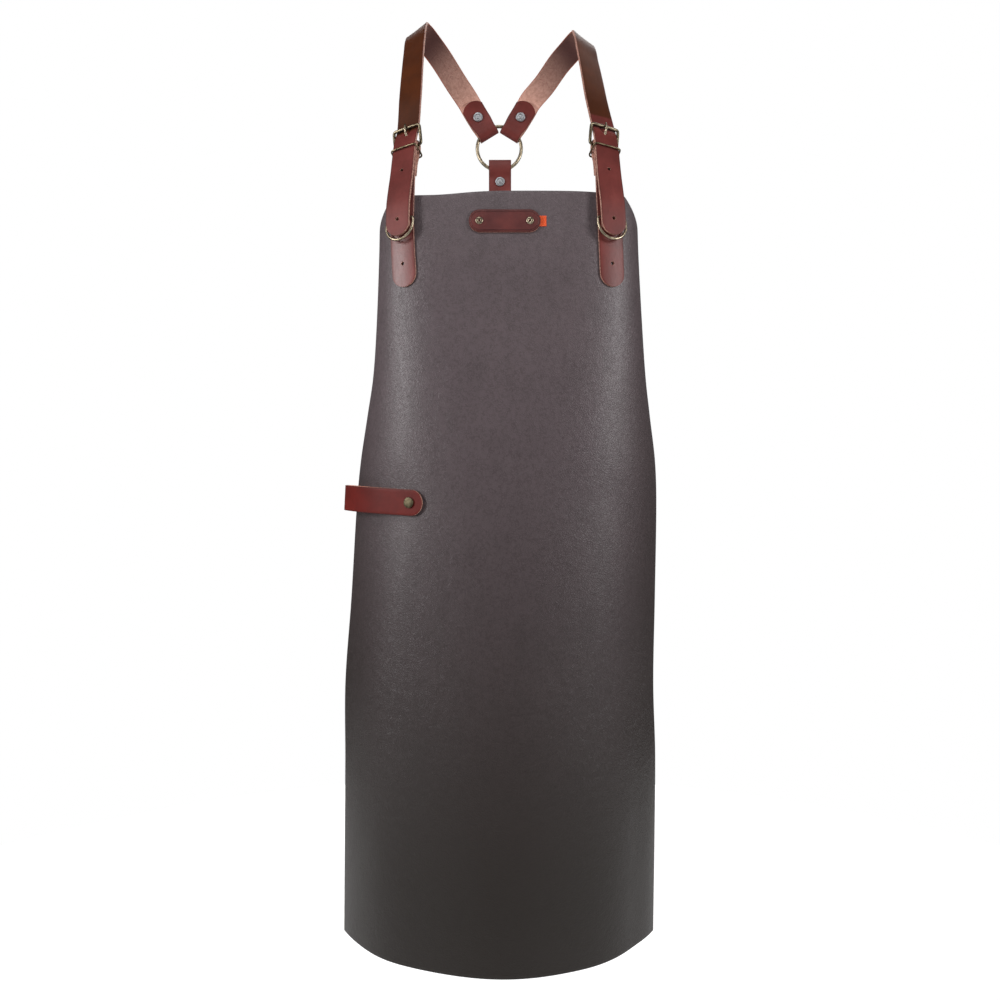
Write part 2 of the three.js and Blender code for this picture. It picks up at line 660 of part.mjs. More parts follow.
// A shoulder strap: the tip on the tab, through the buckle, over the shoulder, and round the ring.
function shoulderStrap(row) {
  const heights = [
    { down: TIP_DROP, height: TIP_HEIGHT - 0.2 },
    { down: TIP_DROP - 12, height: TIP_HEIGHT },
    { down: D_RING_DROP - 6, height: TIP_HEIGHT },
    { down: 12, height: TIP_HEIGHT - 0.6 },
    { down: -6, height: STRAP_HEIGHT + 1.6 },
    { down: -22, height: STRAP_HEIGHT + 0.1 },
    { down: 10 - HINGE_RISE, height: STRAP_HEIGHT },
    { down: -HINGE_RISE, height: STRAP_HEIGHT },
    { down: -HINGE_RISE - 10, height: STRAP_HEIGHT - 0.8 },
    { down: -HINGE_RISE - BUCKLE_REACH, height: TOP_BAR_STRAP },
  ];
  const knots = heights.map((place) => {
    const { point, over } = laneAt(row, PANEL_TOP_Z - place.down, place.height);
    return { point, over };
  });
  for (const knot of SHOULDER_KNOTS) {
    const x = row.side * (knot.out * SHOULDER_HALF + knot.flare * row.flare);
    const z = PANEL_TOP_Z + knot.up * SHOULDER_RISE + knot.lift * row.lift;
    const over = vec(1, -row.side * knot.yaw, -row.side * knot.roll).normalize();
    knots.push({ point: vec(x, knot.back * RING_BACK, z), over });
  }
  const fold = FOLD_WIDTH / STRAP_WIDTH;
  const tabEnd = FOLD_END + BACK_TAB_LENGTH;
  knots.push(backEnd(row, tabEnd + 3, -1.5, 1), backEnd(row, tabEnd - 8, 1, 1));
  knots.push(backEnd(row, BACK_RIVET_AT + LEG_FLAT, LEGS_APART, 1));
  knots.push(backEnd(row, BACK_RIVET_AT - LEG_FLAT, LEGS_APART, 1));
  knots.push(backEnd(row, RING_OUTSIDE + 4, (FOLD_ARC + LEGS_APART) / 2, 0.95));
  knots.push(backEnd(row, RING_OUTSIDE - 1, FOLD_ARC, fold));
  for (const angle of [0, 45, 90, 135, 180]) {
    const [depth, inward] = [Math.cos(rad(angle)), Math.sin(rad(angle))].map((s) => s * FOLD_ARC);
    knots.push(backEnd(row, FOLD_START - inward, depth, fold));
  }
  knots.push(backEnd(row, RING_OUTSIDE - 1, -FOLD_ARC, fold));
  knots.push(backEnd(row, RING_OUTSIDE + 4, -(FOLD_ARC + LEGS_APART) / 2, 0.95));
  knots.push(backEnd(row, BACK_RIVET_AT - LEG_FLAT, -LEGS_APART, 1));
  knots.push(backEnd(row, BACK_RIVET_AT + LEG_FLAT, -LEGS_APART, 1));
  knots.push(backEnd(row, tabEnd, -LEGS_APART - 2.8, 1));
  const ends = { start: STRAP_WIDTH / 2, end: STRAP_WIDTH * 0.62, step: 16 };
  let body = strip(knots, STRAP_WIDTH, STRAP_THICK, ends);
  for (const drop of HOLE_DROPS.strap) {
    const hole = laneFrame(row, PANEL_TOP_Z - drop);
    body = body.subtract(drill(inFrame(hole, 0, 0, TIP_HEIGHT), hole.out, HOLE_RADIUS, 6));
  }
  return body.subtract(rod(prongPath(row), PRONG_WIRE + GAP, 14, 8));
}

// The strap down the back: folded over the ring's foot at the top and round the waist strap below.
function backKnot(z, depth) {
  return { point: vec(RING_CENTRE.x + 1, RING_BACK + depth, z), over: vec(1, 0, 0) };
}

const WAIST_Z = PANEL_TOP_Z - WAIST_DROP;
const BACK_FOLD_TOP = RING_CENTRE.z - (RING_RADIUS - RING_WIRE - BACK_FOLD_IN);
const BACK_RIVET_Z = RING_CENTRE.z - RING_OUTSIDE - 14;
const BACK_LEAN = 8;
const WAIST_HOLD = STRAP_THICK + LOOSE_SEAT;
const WAIST_TOP = WAIST_Z + STRAP_WIDTH / 2;

function backStrap() {
  const ringFoot = RING_CENTRE.z - RING_OUTSIDE;
  const knots = [
    backKnot(BACK_RIVET_Z - 22, -LEGS_APART),
    backKnot(BACK_RIVET_Z, -LEGS_APART),
    backKnot(BACK_RIVET_Z + LEG_FLAT, -LEGS_APART),
    backKnot(ringFoot + 1, -FOLD_ARC),
  ];
  for (const angle of [180, 135, 90, 45, 0]) {
    const [depth, up] = [Math.cos(rad(angle)), Math.sin(rad(angle))].map((s) => s * FOLD_ARC);
    knots.push(backKnot(BACK_FOLD_TOP - STRAP_THICK / 2 - FOLD_ARC + up, depth));
  }
  knots.push(backKnot(ringFoot + 1, FOLD_ARC));
  knots.push(backKnot(BACK_RIVET_Z + LEG_FLAT, LEGS_APART));
  knots.push(backKnot(BACK_RIVET_Z, LEGS_APART));
  knots.push(backKnot(BACK_RIVET_Z - 26, LEGS_APART));
  const middle = (BACK_RIVET_Z - 26 + WAIST_TOP + 65) / 2;
  const low = WAIST_Z - STRAP_WIDTH / 2 - GAP;
  knots.push(backKnot(middle, BACK_LEAN * 0.5));
  knots.push(backKnot(WAIST_TOP + 65, BACK_LEAN + LEGS_APART * 0.6));
  knots.push(backKnot(WAIST_TOP + 35, BACK_LEAN + LEGS_APART));
  knots.push(backKnot(WAIST_TOP + 11, BACK_LEAN + LEGS_APART));
  knots.push(backKnot(WAIST_TOP - 3, BACK_LEAN + WAIST_HOLD));
  for (const angle of [0, 45, 90, 135, 180]) {
    const [depth, down] = [Math.cos(rad(angle)), Math.sin(rad(angle))].map((s) => s * WAIST_HOLD);
    knots.push(backKnot(low - down, BACK_LEAN + depth));
  }
  knots.push(backKnot(WAIST_TOP - 3, BACK_LEAN - WAIST_HOLD));
  knots.push(backKnot(WAIST_TOP + 11, BACK_LEAN - LEGS_APART));
  knots.push(backKnot(WAIST_TOP + 29, BACK_LEAN - LEGS_APART));
  const round = STRAP_WIDTH * 0.55;
  return strip(knots, STRAP_WIDTH, STRAP_THICK, { start: round, end: round, step: 16 });
}

// The waist strap: sewn inside the panel's left edge, round the back, and buttoned on a post inside
// the right edge.
const WAIST_LAP = 34;
const POST_HEAD = 5;

// Its free stretch on each side: share of the edge's place sideways, share of the way to the back.
const WAIST_ROUTE = [
  [0.99, 0.32],
  [0.93, 0.6],
  [0.72, 0.86],
  [0.38, 0.985],
  [0.13, 1],
];

function waistEnd(side, fromEdge, height) {
  const section = sectionAt(WAIST_Z);
  return onPanel(side * (section.halfFlat - fromEdge), WAIST_Z + height);
}

function waistStrap() {
  const inner = -PANEL_THICK - LOOSE_SEAT - STRAP_THICK / 2;
  const knots = [];
  for (const side of [-1, 1]) {
    const made = [1, 0.66, 0.33, 0].map((share) => {
      const lean = waistEnd(side, WAIST_LAP * share, 9).point;
      lean.sub(waistEnd(side, WAIST_LAP * share, -9).point);
      const point = lift(waistEnd(side, WAIST_LAP * share, 0), inner);
      return { point, over: lean.normalize() };
    });
    const edge = made[made.length - 1].point;
    for (const [out, back] of WAIST_ROUTE) {
      const y = edge.y + (RING_BACK + BACK_LEAN - edge.y) * back;
      made.push({ point: vec(edge.x * out, y, WAIST_Z), over: vec(0, 0, 1) });
    }
    if (side > 0) made.reverse();
    knots.push(...made);
  }
  const body = strip(knots, STRAP_WIDTH, STRAP_THICK, {
    start: STRAP_WIDTH * 0.6,
    end: STRAP_WIDTH * 0.6,
    step: 12,
  });
  const post = waistEnd(1, WAIST_LAP * 0.45, 0);
  return body.subtract(drill(post.point, post.normal, RIVET_SHANK + GAP, 12));
}

function waistPost() {
  const place = waistEnd(1, WAIST_LAP * 0.45, 0);
  const inward = place.normal.clone().negate();
  const base = PANEL_THICK + GAP;
  const head = PANEL_THICK + LOOSE_SEAT + STRAP_THICK + GAP;
  const profile = [
    [0, base],
    [RIVET_SHANK, base],
    [RIVET_SHANK, head],
    [POST_HEAD, head + 0.6],
    [POST_HEAD, head + 2],
    [POST_HEAD * 0.6, head + 3.6],
    [0, head + 4],
  ];
  return turned(profile, place.point, inward);
}

// The label: a stadium of leather held by two tubular rivets, with a ribbon end tucked under it.
function stadium(centreAcross, drop, length, height, low, thick) {
  const middle = [0.35, 0.5, 0.65].map((share) => share * length);
  const rows = outline(length, height / 2, height / 2, height / 2, middle);
  return slab(2, rows.length - 1, (u, h, v) => {
    const row = rows[Math.round((v + 0.5) * (rows.length - 1))];
    const place = onPanel(centreAcross + row.at - length / 2, PANEL_TOP_Z - drop + 2 * u * row.half);
    return lift(place, low + (h + 0.5) * thick);
  });
}

function ribbonSolid(grow) {
  const start = LABEL_ACROSS + LABEL_LENGTH / 2 - RIBBON_TUCK;
  const length = RIBBON_TUCK + RIBBON_PROUD;
  return slab(1, 4, (u, h, v) => {
    const across = start + (v + 0.5) * length + 2 * v * grow;
    const z = PANEL_TOP_Z - LABEL_DROP + u * (RIBBON_HEIGHT + 2 * grow);
    return lift(onPanel(across, z), SEAT + (h + 0.5) * RIBBON_THICK + 2 * h * grow);
  });
}

function labelRivet(across) {
  const place = onPanel(across, PANEL_TOP_Z - LABEL_DROP);
  const [low, high] = [-PANEL_THICK - INNER_SEAT, SEAT + LABEL_THICK + GAP];
  const bore = 1.2;
  const profile = [
    [bore, low - 0.9],
    [LABEL_RIVET_CAP, low - 0.7],
    [LABEL_RIVET_CAP, low],
    [RIVET_SHANK, low],
    [RIVET_SHANK, high],
    [LABEL_RIVET_CAP, high],
    [LABEL_RIVET_CAP * 0.85, high + 1],
    [bore + 0.6, high + 1],
    [bore, high + 0.5],
    [bore, low - 0.9],
  ];
  return { place, body: turned(profile, place.point, place.normal) };
}

// The towel loop: a strip folded double over the panel's left side, both legs held by one rivet.
// along: share of the way from the rivet to the fold; height: share of the loop's widest opening.
const TOWEL_EDGE = sectionAt(PANEL_TOP_Z - TOWEL_DROP).halfFlat;
const TOWEL_OPEN = 15;
const TOWEL_FRONT = [
  { along: -0.15, height: 0.27 },
  { along: 0, height: 0.27 },
  { along: 0.2, height: 0.36 },
  { along: 0.45, height: 0.62 },
  { along: 0.7, height: 0.86 },
  { along: 0.9, height: 1 },
  { along: 1, height: 0.96 },
  { along: 1.05, height: 0.74 },
  { along: 1.01, height: 0.48 },
  { along: 0.9, height: 0.27 },
  { along: 0.7, height: 0.13 },
];

function towelPlace(along, height) {
  const z = PANEL_TOP_Z - TOWEL_DROP + TOWEL_RISE * along;
  const end = -TOWEL_EDGE - 2;
  const across = TOWEL_ACROSS + (end - TOWEL_ACROSS) * along;
  const place = onPanel(across, z);
  const over = onPanel(across, z + 9).point.sub(onPanel(across, z - 9).point).normalize();
  return { point: lift(place, height), over, place };
}

function towelLoop() {
  const under = INNER_SEAT + TOWEL_THICK / 2;
  const upper = under + TOWEL_THICK + GAP;
  const knots = TOWEL_FRONT.map((row) => {
    return towelPlace(row.along, Math.max(row.height * TOWEL_OPEN, row.along < 0.1 ? upper : under));
  });
  for (const along of [0.5, 0.3, 0.1, 0, -0.12]) knots.push(towelPlace(along, under));
  const ends = { start: TOWEL_WIDTH / 2, end: TOWEL_WIDTH / 2, step: 9 };
  return strip(knots, TOWEL_WIDTH, TOWEL_THICK, ends);
}

// Everything is put together, and what passes through a piece cuts its hole there.
for (const row of SIDES) {
  const { frame, body } = tabRivet(row);
  const hole = drill(frame.origin, frame.out, RIVET_SHANK + GAP, 12);
  panel = panel.subtract(hole);
  add("tab_rivet_" + row.name, body, "nickel");
  add("chest_tab_" + row.name, chestTab(row).subtract(hole), "leather");
  const loopHole = drill(frame.origin, frame.out, RIVET_SHANK + GAP, TAB_FACE + GAP + LOOP_THICK + 0.4);
  add("d_ring_loop_" + row.name, dRingLoop(row).subtract(loopHole), "leather");
  add("d_ring_" + row.name, dRing(row), "brass");
  add("buckle_frame_" + row.name, buckleFrame(row), "brass");
  add("buckle_prong_" + row.name, buckleProng(row), "brass");
  add("keeper_" + row.name, keeper(row), "brass");
  const pin = backEnd(row, BACK_RIVET_AT, 0, 1).point;
  const pinHole = drill(pin, vec(0, -1, 0), RIVET_SHANK + GAP, 9);
  add("shoulder_strap_" + row.name, shoulderStrap(row).subtract(pinHole), "leather");
  const grip = LEGS_APART + STRAP_THICK / 2 + GAP;
  add("back_rivet_" + row.name, rivet(pin, vec(0, -1, 0), -grip, grip), "nickel");
}

const ring = new THREE.TorusGeometry(RING_RADIUS, RING_WIRE, 8, 36);
ring.rotateX(Math.PI / 2).translate(RING_CENTRE.x, RING_CENTRE.y, RING_CENTRE.z);
add("back_ring", solid(ring), "brass");

const backGrip = LEGS_APART + STRAP_THICK / 2 + GAP;
const upperPin = backKnot(BACK_RIVET_Z, 0).point;
const lowerPin = backKnot(WAIST_TOP + 19, BACK_LEAN).point;
const backHoles = [upperPin, lowerPin].map((at) => drill(at, vec(0, -1, 0), RIVET_SHANK + GAP, 12));
add("back_strap", backStrap().subtract(backHoles[0]).subtract(backHoles[1]), "leather");
add("back_rivet_middle", rivet(upperPin, vec(0, -1, 0), -backGrip, backGrip), "nickel");
add("waist_rivet", rivet(lowerPin, vec(0, -1, 0), -backGrip - 0.3, backGrip + 0.3), "nickel");
add("waist_strap", waistStrap(), "leather");
add("waist_post", waistPost(), "nickel");

let label = stadium(LABEL_ACROSS, LABEL_DROP, LABEL_LENGTH, LABEL_HEIGHT, SEAT, LABEL_THICK);
label = label.subtract(ribbonSolid(GAP));
for (const [name, side] of [["left", -1], ["right", 1]]) {
  const { place, body } = labelRivet(LABEL_ACROSS + (side * LABEL_RIVET_SPACING) / 2);
  const hole = drill(place.point, place.normal, RIVET_SHANK + GAP, 12);
  label = label.subtract(hole);
  panel = panel.subtract(hole);
  add("label_rivet_" + name, body, "brass");
}
add("label", label, "leather");
add("label_ribbon", ribbonSolid(0), "ribbon");

const towelPin = towelPlace(0, 0).place;
const towelHole = drill(towelPin.point, towelPin.normal, RIVET_SHANK + GAP, 14);
const towelFace = 2 * INNER_SEAT + 2 * TOWEL_THICK + GAP;
panel = panel.subtract(towelHole);
add("towel_loop", towelLoop().subtract(towelHole), "leather");
const towelInner = -PANEL_THICK - INNER_SEAT;
add("towel_rivet", rivet(towelPin.point, towelPin.normal, towelInner, towelFace), "brass");
add("apron_panel", panel, "panel");

export default apron;
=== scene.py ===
# %% [markdown]
# This lesson dresses a leather work apron. The apron hangs in the shape it has when worn: one
# curved panel, two buckled shoulder straps that cross down to a ring at the back, and a strap
# down the back that meets a waist strap. The construction arrives as a fixed frame of plain
# solids, and each piece here takes the place of one of them with its real edges and finish.

# %% Load the frame
import bpy
import bmesh
from math import asin, ceil, cos, exp, pi, radians, sin, sqrt
from mathutils import Matrix, Vector


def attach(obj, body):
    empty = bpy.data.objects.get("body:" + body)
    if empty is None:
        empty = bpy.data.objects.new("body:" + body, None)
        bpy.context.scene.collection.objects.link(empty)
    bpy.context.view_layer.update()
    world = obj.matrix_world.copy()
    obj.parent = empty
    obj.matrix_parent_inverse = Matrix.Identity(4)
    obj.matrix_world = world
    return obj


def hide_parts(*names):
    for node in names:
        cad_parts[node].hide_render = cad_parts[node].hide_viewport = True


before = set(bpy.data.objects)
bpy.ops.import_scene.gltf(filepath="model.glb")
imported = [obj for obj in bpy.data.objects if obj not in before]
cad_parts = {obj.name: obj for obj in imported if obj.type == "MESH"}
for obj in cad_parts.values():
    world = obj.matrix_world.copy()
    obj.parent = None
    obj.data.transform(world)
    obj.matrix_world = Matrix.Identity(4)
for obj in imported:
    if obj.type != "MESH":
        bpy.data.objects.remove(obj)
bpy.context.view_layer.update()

# %% [markdown]
# The sizes repeat those of the construction, in millimetres, because every piece has to lie
# where its solid lies. Only the last step of each piece turns them into metres. A real apron
# maker works the same way: one cutting list, and every piece is marked out from it.

# %% Sizes of the panel, the straps and the hardware
MM = 0.001
PANEL_LENGTH = 880
PANEL_SPAN = 384
PANEL_TOP_Z = -232
PANEL_FRONT_Y = -115
PANEL_THICK = 1.6
TOP_EDGE_HALF = 136
ARMHOLE_DROP = 34
TOP_EDGE_DIP = 4
SHOULDER_RISE = 237
SHOULDER_HALF = 103.5
RING_BACK = 100
WAIST_DROP = 218

STRAP_WIDTH = 30
STRAP_THICK = 2.8
FOLD_WIDTH = 27
TAB_DROP = 106
TAB_FOLD_LENGTH = 40
TIP_DROP = 50
HOLE_RADIUS = 2
HOLE_DROPS = {"strap": [-26, 32], "tab": 80}
BACK_TAB_LENGTH = 52
BACK_RIVET_FROM_FOLD = 30

HINGE_RISE = 60
BUCKLE_REACH = 22
BUCKLE_WIRE = 1.75
PRONG_WIRE = 1.25
KEEPER_WIRE = 1
D_RING_WIRE = 1.5
D_RING_DROP = 30
D_RING_REACH = 25
D_RING_TILT = 9
LOOP_WIDTH = 24
LOOP_THICK = 1.4
RING_RADIUS = 29.75
RING_WIRE = 2.25
RIVET_CAP = 6.2
RIVET_HEIGHT = 2
RIVET_SHANK = 2

LABEL_LENGTH = 80
LABEL_HEIGHT = 25.7
LABEL_THICK = 2.5
LABEL_ACROSS = -5
LABEL_DROP = 35
LABEL_RIVET_SPACING = 56.5
LABEL_RIVET_CAP = 4.2
RIBBON_PROUD = 6.5
RIBBON_TUCK = 6
RIBBON_HEIGHT = 12
RIBBON_THICK = 1
TOWEL_DROP = 349
TOWEL_ACROSS = -112
TOWEL_WIDTH = 30
TOWEL_THICK = 2.2
TOWEL_RISE = 6
TOWEL_OPEN = 15

GAP = 0.3
SEAT = 0.4
INNER_SEAT = 0.5
CAP_SEAT = 0.8
LOOSE_SEAT = 0.8
FOLD_GAP = 0.5
SIDE_GAP = 0.75
print("panel", PANEL_SPAN, "x", PANEL_LENGTH, "mm, straps", STRAP_WIDTH, "mm wide")

# %% Heights over the panel's face, from the panel outwards
TAB_HEIGHT = SEAT + STRAP_THICK / 2
TAB_FACE = SEAT + STRAP_THICK
STRAP_HEIGHT = TAB_FACE + LOOSE_SEAT + STRAP_THICK / 2
BAR_HEIGHT = TAB_FACE + GAP + D_RING_WIRE
LOOP_ARC = D_RING_WIRE + GAP + LOOP_THICK / 2
TIP_HEIGHT = BAR_HEIGHT + LOOP_ARC + LOOP_THICK / 2 + GAP + STRAP_THICK / 2
HINGE_ARC = BUCKLE_WIRE + GAP + STRAP_THICK / 2
HINGE_HEIGHT = TAB_HEIGHT - HINGE_ARC
TOP_BAR_STRAP = 2.6
TOP_BAR_HEIGHT = TOP_BAR_STRAP + STRAP_THICK / 2 + GAP + BUCKLE_WIRE
HINGE_Z = PANEL_TOP_Z + HINGE_RISE
D_RING_Z = PANEL_TOP_Z - D_RING_DROP
WIRE_HALF = STRAP_WIDTH / 2 + SIDE_GAP
FRAME_CORNER = 3
RING_CORNER = 2.5
PRONG_EYE = BUCKLE_WIRE + FOLD_GAP + PRONG_WIRE
PRONG_SLOT = {"width": 7, "length": 16, "down": 0.5}
FOLD_NARROWS = 0.93
WAIST_Z = PANEL_TOP_Z - WAIST_DROP
print("the strap's tip lies", round(TIP_HEIGHT, 1), "mm over the panel")

# %% [markdown]
# The panel's form is a stack of level curves. Each one starts straight at the middle line and
# turns further and further back towards the side edges, as leather does round a body. Three
# numbers a section are enough: its width, how far it turns and how late. Between the sections
# the numbers are read smoothly.

# %% The panel's sections
# down: share of PANEL_LENGTH below the top edge; span: share of PANEL_SPAN; lean: how far back
# the middle line lies, as a share of PANEL_LENGTH; bend: degrees turned at the side edge;
# power: how late the bend comes; shift: middle line's place to +X, as a share of PANEL_SPAN.
SECTION_COLUMNS = ["down", "span", "lean", "bend", "power", "shift"]
SECTIONS = [
    dict(zip(SECTION_COLUMNS, row))
    for row in [
        (-0.14, 0.775, 0.043, 80, 2.1, 0.026),
        (-0.1, 0.775, 0.027, 82, 2.3, 0.026),
        (-0.04, 0.778, 0.01, 85, 2.9, 0.026),
        (0, 0.782, 0.004, 86, 3.3, 0.026),
        (0.07, 0.788, 0, 86, 3.3, 0.027),
        (0.17, 0.815, 0, 81, 2.8, 0.029),
        (0.23, 0.84, 0, 77, 2.4, 0.029),
        (0.28, 0.878, 0, 73, 2.0, 0.027),
        (0.34, 0.922, 0, 69, 1.7, 0.025),
        (0.4, 0.948, 0, 66, 1.4, 0.021),
        (0.53, 0.967, 0, 63, 1.2, 0.01),
        (0.65, 0.99, 0, 62, 1.05, -0.002),
        (0.76, 1, 0, 61.6, 1, 0.001),
        (1, 0.997, 0, 61.6, 1, -0.004),
    ]
]

# The two sides differ a little. lane: where the chest tab runs across the panel, at its end, at
# the D-ring and at the buckle; lift: height of the shoulder over the left one; flare: how far
# the strap leans out from the shoulder to the buckle; russet: where its brown stretch begins,
# over the buckle.
SIDE_COLUMNS = ["name", "side", "end", "ring", "buckle", "lift", "flare", "russet"]
SIDES = [
    dict(zip(SIDE_COLUMNS, row))
    for row in [("left", -1, 119, 122, 118, 0, 1, 0), ("right", 1, 117, 114, 110, -10, 12, 22)]
]


def clamp(value, low=0.0, high=1.0):
    return max(low, min(high, value))


def smooth(value, low, high):
    t = clamp((value - low) / (high - low))
    return t * t * (3 - 2 * t)


def read_table(rows, key, at, column):
    """A value from a table of rows, read smoothly at a place between them."""
    last = len(rows) - 1
    i = 0
    while i < last - 1 and rows[i + 1][key] < at:
        i += 1

    def slope(k):
        a, b = rows[max(k - 1, 0)], rows[min(k + 1, last)]
        return (b[column] - a[column]) / (b[key] - a[key])

    width = rows[i + 1][key] - rows[i][key]
    t = clamp((at - rows[i][key]) / width)
    t2, t3 = t * t, t * t * t
    return (
        (2 * t3 - 3 * t2 + 1) * rows[i][column]
        + (t3 - 2 * t2 + t) * width * slope(i)
        + (3 * t2 - 2 * t3) * rows[i + 1][column]
        + (t3 - t2) * width * slope(i + 1)
    )


def reach(bend, power, share, steps=24):
    """How far sideways and back a curve goes whose heading turns by bend * t ** power."""
    sideways = back = 0.0
    for i in range(steps + 1):
        weight = 1 if i in (0, steps) else (4 if i % 2 else 2)
        heading = bend * (share * i / steps) ** power
        sideways += weight * cos(heading) * share / steps / 3
        back += weight * sin(heading) * share / steps / 3
    return sideways, back


section_cache = {}


def section_at(z):
    key = round(z, 3)
    if key not in section_cache:
        down = (PANEL_TOP_Z - z) / PANEL_LENGTH
        span, lean, bend, power, shift = (
            read_table(SECTIONS, "down", down, column) for column in SECTION_COLUMNS[1:]
        )
        bend = radians(bend)
        half_flat = span * PANEL_SPAN / 2 / reach(bend, power, 1)[0]
        front = PANEL_FRONT_Y + lean * PANEL_LENGTH
        section_cache[key] = (bend, power, half_flat, shift * PANEL_SPAN, front)
    return section_cache[key]


def on_panel(across, z):
    """A point of the panel's outer face, the direction across it, its normal and roundness."""
    bend, power, half_flat, shift, front = section_at(z)
    share = abs(across) / half_flat
    sign = -1 if across < 0 else 1
    sideways, back = reach(bend, power, share)
    heading = sign * bend * share**power
    point = Vector((shift + sign * sideways * half_flat, front + back * half_flat, z))
    over = Vector((cos(heading), sin(heading), 0))
    normal = Vector((sin(heading), -cos(heading), 0))
    curve = bend * power * share ** (power - 1) / half_flat
    return point, over, normal, curve


def over_panel(across, z, height):
    point, over, normal, curve = on_panel(across, z)
    return point + normal * height


print("flat width at the hem:", round(2 * section_at(PANEL_TOP_Z - PANEL_LENGTH)[2]), "mm")

# %% [markdown]
# Each chest tab and the strap buckled to it follow a lane up the panel and on above it. A small
# flat frame on that lane (over, up and out) is all that is needed to place a buckle, a D-ring
# or a rivet: its maker thinks in the same three directions.

# %% Lanes and frames


def lane_at(row, z, height):
    rows = [
        {"down": -HINGE_RISE - BUCKLE_REACH, "across": row["buckle"]},
        {"down": D_RING_DROP, "across": row["ring"]},
        {"down": TAB_DROP, "across": row["end"]},
    ]
    across = row["side"] * read_table(rows, "down", PANEL_TOP_Z - z, "across")
    point, over, normal, curve = on_panel(across, z)
    free = smooth(z, PANEL_TOP_Z, PANEL_TOP_Z + 25)
    return {"point": point + normal * height, "over": over, "curve": curve * (1 - free)}


def lane_frame(row, z):
    here = lane_at(row, z, 0)
    up = (lane_at(row, z + 4, 0)["point"] - lane_at(row, z - 4, 0)["point"]).normalized()
    over = (here["over"] - up * here["over"].dot(up)).normalized()
    return {"origin": here["point"], "over": over, "up": up, "out": over.cross(up)}


def in_frame(place, over, up, out):
    return place["origin"] + place["over"] * over + place["up"] * up + place["out"] * out


for row in SIDES:
    at = lane_frame(row, D_RING_Z)["origin"]
    print("D-ring", row["name"], [round(v) for v in at])

# %% [markdown]
# Now the finishes. Shader maths reads best as plain expressions, so a small class wraps a node's
# socket and turns + - * / into Math nodes. One method, node(), makes every other node from its
# type, its settings and the values or links of its sockets.

# %% A class for shader maths


class Value:
    """A number that varies over a surface, as a node's output socket."""

    def __init__(self, finish, socket):
        self.finish, self.socket = finish, socket

    def math(self, operation, *others, clamped=False):
        settings = {"operation": operation, "use_clamp": clamped}
        return self.finish.node("ShaderNodeMath", settings, [self, *others])

    def __add__(self, other):
        return self.math("ADD", other)

    def __radd__(self, other):
        return self.math("ADD", other)

    def __sub__(self, other):
        return self.math("SUBTRACT", other)

    def __rsub__(self, other):
        return self.math("MULTIPLY", -1.0).math("ADD", other)

    def __mul__(self, other):
        return self.math("MULTIPLY", other)

    def __rmul__(self, other):
        return self.math("MULTIPLY", other)

    def __truediv__(self, other):
        return self.math("DIVIDE", other)

    def size(self):
        return self.math("ABSOLUTE")

    def ramp(self, low, high):
        """0 below low, 1 above high, smooth between."""
        sockets = {"Value": self, "From Min": low, "From Max": high}
        settings = {"interpolation_type": "SMOOTHSTEP"}
        return self.finish.node("ShaderNodeMapRange", settings, sockets, "Result")


class Finish:
    """A material, with one method that makes its nodes."""

    def __init__(self, name):
        self.material = bpy.data.materials.new(name)
        self.material.use_nodes = True
        self.tree = self.material.node_tree
        self.shader = self.tree.nodes["Principled BSDF"]

    def node(self, kind, settings=None, sockets=None, output=0):
        made = self.tree.nodes.new(kind)
        for key, value in (settings or {}).items():
            if key == "stops":
                self.set_stops(made.color_ramp, value)
            else:
                setattr(made, key, value)
        pairs = sockets.items() if isinstance(sockets, dict) else enumerate(sockets or [])
        for key, value in pairs:
            self.put(made.inputs[key], value)
        return Value(self, made.outputs[output])

    def set_stops(self, ramp, stops):
        while len(ramp.elements) < len(stops):
            ramp.elements.new(0.5)
        for element, (place, colour) in zip(ramp.elements, stops):
            element.position = place
            element.color = (*colour, 1)

    def put(self, socket, value):
        if isinstance(value, Value):
            self.tree.links.new(value.socket, socket)
        elif isinstance(value, tuple) and len(value) == 3 and socket.type == "RGBA":
            socket.default_value = (*value, 1)
        else:
            socket.default_value = value

    def set(self, **values):
        for key, value in values.items():
            self.put(self.shader.inputs[key.replace("_", " ")], value)

    def place(self, kind="Object"):
        return self.node("ShaderNodeTexCoord", output=kind)

    def stretched(self, vector, scale):
        return self.node("ShaderNodeMapping", {}, {"Vector": vector, "Scale": scale})

    def noise(self, vector, scale, detail=3.0, rough=0.5):
        sockets = {"Vector": vector, "Scale": scale, "Detail": detail, "Roughness": rough}
        return self.node("ShaderNodeTexNoise", {}, sockets, "Fac")

    def cells(self, vector, scale, feature="F1", random=1.0):
        sockets = {"Vector": vector, "Scale": scale, "Randomness": random}
        return self.node("ShaderNodeTexVoronoi", {"feature": feature}, sockets, "Distance")

    def mix(self, share, first, second, blend="MIX"):
        settings = {"data_type": "RGBA", "blend_type": blend}
        made = self.tree.nodes.new("ShaderNodeMix")
        for key, value in settings.items():
            setattr(made, key, value)
        for key, value in ((0, share), (6, first), (7, second)):
            self.put(made.inputs[key], value)
        return Value(self, made.outputs[2])

    def bump(self, height, distance, strength=1.0, below=None):
        sockets = {"Height": height, "Distance": distance, "Strength": strength}
        if below is not None:
            sockets["Normal"] = below
        return self.node("ShaderNodeBump", {}, sockets, "Normal")

    def parts(self, vector):
        made = self.tree.nodes.new("ShaderNodeSeparateXYZ")
        self.put(made.inputs[0], vector)
        return [Value(self, made.outputs[i]) for i in range(3)]


def tone(hexadecimal):
    """A colour written as on a paint card, as the linear values that a shader wants."""
    parts = [int(hexadecimal[i : i + 2], 16) / 255 for i in (1, 3, 5)]
    return tuple(p / 12.92 if p <= 0.04045 else ((p + 0.055) / 1.055) ** 2.4 for p in parts)


